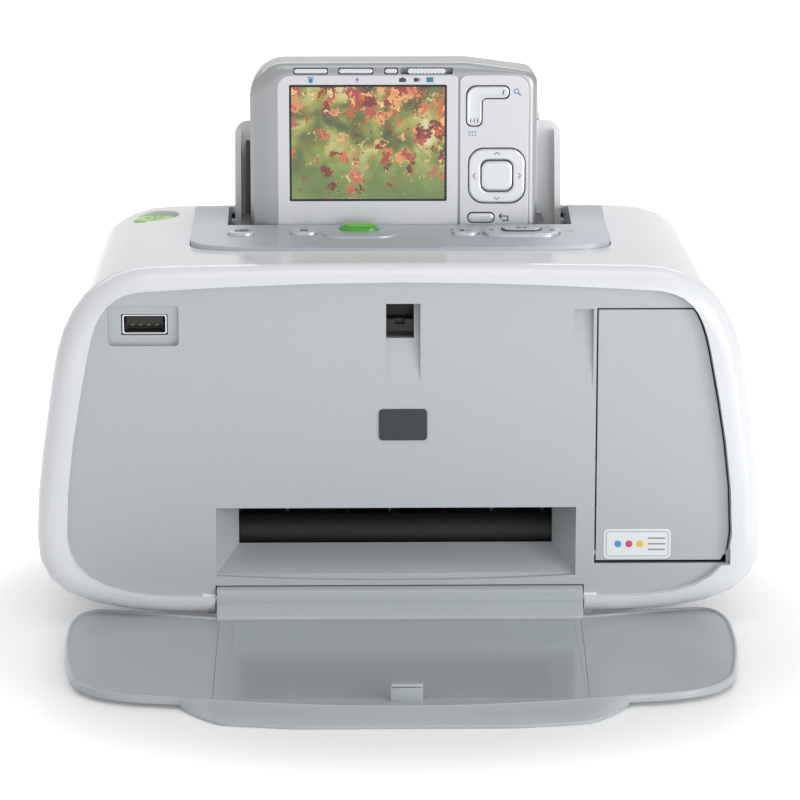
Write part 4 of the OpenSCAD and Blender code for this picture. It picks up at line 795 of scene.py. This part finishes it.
# the display: a black frame under glass, showing a made-up picture of autumn leaves over a lawn.
# A soft background and a band of grass lie under two sizes of ragged leaves, thicker to the top.
picture = blank("display_picture_of_autumn_leaves")
tree = picture.node_tree
place = add(tree, "ShaderNodeTexCoord")
view = add(tree, "ShaderNodeMapping", {"Vector": place.outputs["Object"]}, vector_type="TEXTURE")
view.inputs["Location"].default_value = (DISPLAY[0] * MM, FACE_Y * MM, DISPLAY[1] * MM)
view.inputs["Scale"].default_value = (0.0185,) * 3
axes = add(tree, "ShaderNodeSeparateXYZ", {0: view.outputs[0]})
far = add(tree, "ShaderNodeTexNoise", {"Vector": view.outputs[0]}, Scale=1.6, Detail=2.0, Distortion=0.6)
depth = add(tree, "ShaderNodeValToRGB", {"Fac": far.outputs["Fac"]})
wobble = add(tree, "ShaderNodeTexNoise", {"Vector": view.outputs[0]},
             Scale=7.0, Detail=3.0, Roughness=0.7)
ragged = add(tree, "ShaderNodeVectorMath", {0: wobble.outputs["Color"], 2: view.outputs[0]},
             operation="MULTIPLY_ADD")
ragged.inputs[1].default_value = (0.5,) * 3
near = add(tree, "ShaderNodeTexVoronoi", {"Vector": ragged.outputs[0]}, Scale=3.6, Randomness=1.0)
leaf = add(tree, "ShaderNodeValToRGB", {"Fac": near.outputs["Color"]})
small = add(tree, "ShaderNodeTexVoronoi", {"Vector": ragged.outputs[0]}, Scale=7.5, Randomness=1.0)
fleck = add(tree, "ShaderNodeValToRGB", {"Fac": small.outputs["Color"]})
for target, *stops in (
        (depth, (0.3, "#2F3A22"), (0.45, "#5C6E30"), (0.56, "#97A048"), (0.68, "#CFC98A"),
         (0.8, "#E5DFC4")),
        (leaf, (0.2, "#6E1C14"), (0.4, "#B4402A"), (0.55, "#D9713C"), (0.7, "#A63440"),
         (0.85, "#E9A868")),
        (fleck, (0.2, "#8A2A1C"), (0.45, "#CF5A34"), (0.6, "#E89A5C"), (0.8, "#F0C890"))):
    ramp = target.color_ramp
    ramp.elements[0].position, ramp.elements[0].color = stops[0][0], linear(stops[0][1])
    ramp.elements[1].position, ramp.elements[1].color = stops[-1][0], linear(stops[-1][1])
    for at, code in stops[1:-1]:
        ramp.elements.new(at).color = linear(code)
lawn = add(tree, "ShaderNodeMapRange", {"Value": axes.outputs["Z"]}, From_Min=-0.15, From_Max=-0.6)
grass = add(tree, "ShaderNodeMix", {"Factor": far.outputs["Fac"]}, data_type="RGBA")
grass.inputs[6].default_value, grass.inputs[7].default_value = linear("#3F5A26"), linear("#8FA755")


def over(share, below, above):
    """Lays one colour of the picture over another."""
    return add(tree, "ShaderNodeMix", {"Factor": share.outputs[0], 6: below, 7: above},
               data_type="RGBA").outputs[2]


shown = over(lawn, depth.outputs[0], grass.outputs[2])
patch = add(tree, "ShaderNodeTexNoise", {"Vector": view.outputs[0]}, Scale=1.3, Detail=3.0)
higher = add(tree, "ShaderNodeMath", {0: axes.outputs["Z"]}, operation="MULTIPLY")
higher.inputs[1].default_value = 0.16
crowd = add(tree, "ShaderNodeMath", {0: patch.outputs["Fac"], 1: higher.outputs[0]}, operation="ADD")
for cells, colours, start in ((near, leaf, 0.10), (small, fleck, 0.20)):
    gate = add(tree, "ShaderNodeMath", {0: crowd.outputs[0], 1: cells.outputs["Distance"]},
               operation="SUBTRACT")
    cover = add(tree, "ShaderNodeMapRange", {"Value": gate.outputs[0]},
                From_Min=start, From_Max=start + 0.06)
    shown = over(cover, shown, colours.outputs[0])
glass = add(tree, "ShaderNodeBsdfPrincipled", {"Base Color": shown}, Roughness=0.25,
            Coat_Weight=0.5, Coat_Roughness=0.04)
add(tree, "ShaderNodeOutputMaterial", {"Surface": glass.outputs[0]})
bm = bmesh.new()
mould(bm, oblong(*DISPLAY, 49.9, 37, 0.4, 3), [(0, -0.9), (0, 0.06), (0.06, 0.1), (0.2, 0.1)], on_face)
mould(bm, oblong(*DISPLAY, 48.7, 35.8, 0.2, 3), [(0, 0.05), (0, 0.12)], on_face, 1)
finished("camera_display", bm, [black_abs, picture], "camera", "screen_gloss", "camera_screen")

# printed signs on the face: bin, flash, camera, play, magnifier, index dots and a return arrow
# pad-printed ink: a flat mid blue
blue_ink = plastic("pad_printed_blue_ink", "#2F7FA3", rough=0.5, grain_mm=0.3, bump=0.05)
bm = bmesh.new()


def sign(line, at=(0, 0), ink=0):
    """A flat printed shape on the face, drawn about a point."""
    mould(bm, [Vector((at[0] + x, at[1] + z)) for x, z in line], [(0, 0.24), (0, 0.3)], on_face, ink)


# the row above the display: X, ink, and outlines about that X and the row's height
SIGN_ROW = 163.6
for x, ink, outlines in (
        (-27.4, 1, ([(-0.6, -0.9), (0.6, -0.9), (0.75, 0.4), (-0.75, 0.4)],
                    stroke((-1, 0.75), (1, 0.75), 0.3))),
        (-12.7, 0, ([(-0.2, -1), (0.55, 0.2), (0.1, 0.2), (0.4, 1), (-0.5, -0.05), (0, -0.05)],)),
        (1.7, 0, ([(-1.1, -0.7), (1.1, -0.7), (1.1, 0.5), (-1.1, 0.5)],
                  [(-0.4, 0.45), (0.4, 0.45), (0.25, 0.8), (-0.25, 0.8)])),
        (6.2, 0, ([(-0.9, -0.6), (0.5, -0.6), (0.5, 0.6), (-0.9, 0.6)],
                  [(0.6, -0.1), (1.1, -0.5), (1.1, 0.5), (0.6, 0.1)])),
        (10.4, 1, ([(-1.1, -0.8), (1.1, -0.8), (1.1, 0.8), (-1.1, 0.8)],))):
    for outline in outlines:
        sign(outline, (x, SIGN_ROW), ink)
# the magnifier beside the zoom rocker, and the return arrow beside the menu key
LOUPE = (37.9, 159.9)
ring = [(0.75 * math.cos(math.radians(a)), 0.75 * math.sin(math.radians(a))) for a in range(0, 361, 30)]
for a, b in zip(ring, ring[1:]):
    sign(stroke(a, b, 0.28), LOUPE, 1)
sign(stroke((0.6, -0.6), (1.4, -1.4), 0.4), LOUPE, 1)
for a, b in (((32.6, 119.9), (35.4, 119.9)), ((32.6, 119.9), (33.5, 120.7)), ((32.6, 119.9), (33.5, 119.1)),
             ((35.4, 120.05), (35.4, 118.4)), ((35.5, 118.5), (33.6, 118.5))):
    sign(stroke(a, b, 0.35))
finished("face_signs", bm, [sign_ink, blue_ink], "camera", "dark_plastic")
for k in (0, 1):
    bm = bmesh.new()
    mould(bm, oblong(23.0, 146.9 - 0.95 * k, 0.5, 0.5, 0.2, 2), [(0, 0.24), (0, 0.3)], on_face)
    fit(repeated("index_dots_%d" % k, bm, blue_ink, 3, (0.95, 0, 0)), "camera", "dark_plastic")

# ---- Camera keys -----------------------------------------
# Bright metallised keys in narrow dark gaps: the L-shaped zoom rocker, the four-way pad round its
# middle key, the menu key, and three low keys and a ribbed slider along the top edge.
# metallised ABS: a bright, slightly soft mirror
bright_abs = plastic("metallised_abs", "#C6C8CC", rough=0.22, grain_mm=0.6, bump=0.03, metal=0.55)
# how deep the keys reach behind the face, and the height of the row along the top edge
ROOT = -3.4
TOP_ROW = 166.33
bm = bmesh.new()
mould(bm, zoom_line(0), [(0, ROOT), (0, 0.35), (0.12, 0.6), (0.4, 0.7), (0.8, 0.62), (1.2, 0.6)], on_face)
for a, b, w in (((23.4, 149.9), (23.4, 151.3), 0.3), ((24.5, 149.9), (24.5, 151.3), 0.3),
                ((25.6, 149.9), (25.6, 151.3), 0.3), ((33.6, 158.9), (33.9, 160.4), 0.35)):
    mould(bm, stroke(a, b, w), [(0, 0.6), (0, 0.66)], on_face, 1)
finished("zoom_rocker_cap", bm, [bright_abs, sign_ink], "zoom_rocker", "camera_button", "zoom_rocker")
bm = bmesh.new()
plate(bm, oblong(*NAV, 17.8, 17.4, 4.8, 10), [oblong(*NAV, 10.4, 10.2, 2.6, 10)], ROOT, 0.7, on_face, 0.45)
for a in (0, 90, 180, 270):
    way = Vector((math.cos(math.radians(a)), math.sin(math.radians(a))))
    side = Vector((-way.y, way.x))
    tip = Vector(NAV) + way * 7.6
    for k in (-1, 1):
        mould(bm, stroke(tip, tip - way * 0.8 + side * k * 0.9, 0.25), [(0, 0.66), (0, 0.74)], on_face, 1)
finished("four_way_pad", bm, [bright_abs, sign_ink], "nav_pad", "camera_button", "nav_pad")
for name, node, at, size, r, top in (("middle_key", "ok_button", NAV, (9.8, 9.6), 2.4, 1.0),
                                     ("menu_key", "menu_button", MENU, (8.2, 3), 1.4, 0.6)):
    bm = bmesh.new()
    mould(bm, oblong(*at, *size, r, 8),
          [(0, ROOT), (0, top - 0.35), (0.12, top - 0.1), (0.4, top), (0.9, top)], on_face)
    finished(name, bm, [bright_abs], node, "camera_button", node)
for name, node, x, w in (("delete_key", "delete_button", -27.4, 10.4),
                         ("flash_key", "flash_button", -13.1, 10.6),
                         ("shutter_key", "shutter_button", -1.9, 3.8)):
    bm = bmesh.new()
    mould(bm, oblong(x, TOP_ROW, w, 1.5, 0.65),
          [(0, ROOT), (0, 0.15), (0.12, 0.32), (0.3, 0.4), (0.5, 0.4)], on_face)
    finished(name, bm, [bright_abs], node, "camera_button", node)
bm = bmesh.new()
mould(bm, oblong(9.4, TOP_ROW, 12, 1.5, 0.6), [(0, ROOT), (0, 0.05), (0.1, 0.15), (0.4, 0.15)], on_face)
finished("mode_slider_bar", bm, [bright_abs], "mode_slider", "camera_button", "mode_slider")
bm = bmesh.new()
mould(bm, oblong(4.4, TOP_ROW, 0.55, 1.9, 0.2, 2), [(0, 0.0), (0, 0.35), (0.1, 0.42)], on_face)
fit(repeated("mode_slider_ribs", bm, bright_abs, 10, (1.1, 0, 0)), "mode_slider", "camera_button")

# ---- Camera lens -----------------------------------------
# The retracted barrel in the far side of the camera: stepped rings of black anodised metal
# round a coated front glass.
# hard-anodised aluminium: satin black with a faint blasted grain
barrel = plastic("black_anodised_barrel", "#222326", rough=0.35, grain_mm=0.4, bump=0.08, metal=0.4)
# coated glass: nearly black under a clear coat, with the violet of the coating's reflection painted into
# its colour
coated = plastic("coated_lens_glass", "#14121E", rough=0.06, grain_mm=2.0, bump=0.0, coat=1.0)
# X, depth and Z where the lens axis leaves the far side
LENS_AT = (-1, 78, 139.335)


def on_front(x, z, h):
    """Drawing on the camera's far side: X, Z from the lens axis, height h away from the viewer."""
    return (LENS_AT[0] + x, LENS_AT[1] + h, LENS_AT[2] + z)


bm = bmesh.new()
mould(bm, oblong(0, 0, 37.9, 37.9, 18.9, 16),
      [(0, -2.9), (0, 0.9), (0.3, 1.2), (1.2, 1.2), (1.5, 0.9), (2.0, 0.9), (2.3, 1.9), (2.6, 2.2),
       (4.8, 2.2), (5.4, 1.6), (6.2, 1.2)], on_front)
mould(bm, oblong(0, 0, 25, 25, 12.4, 16),
      [(0, 0.8), (0, 2.0), (0.3, 2.3), (1.4, 2.3), (2.4, 1.5), (4.6, 1.3)], on_front)
mould(bm, oblong(0, 0, 15, 15, 7.45, 16),
      [(0, 0.9), (0, 1.4), (1.2, 1.75), (2.8, 2.05), (4.6, 2.2), (6.2, 2.28)], on_front, 1)
finished("camera_lens_ring", bm, [barrel, coated], "camera", "lens_black", "camera_lens")
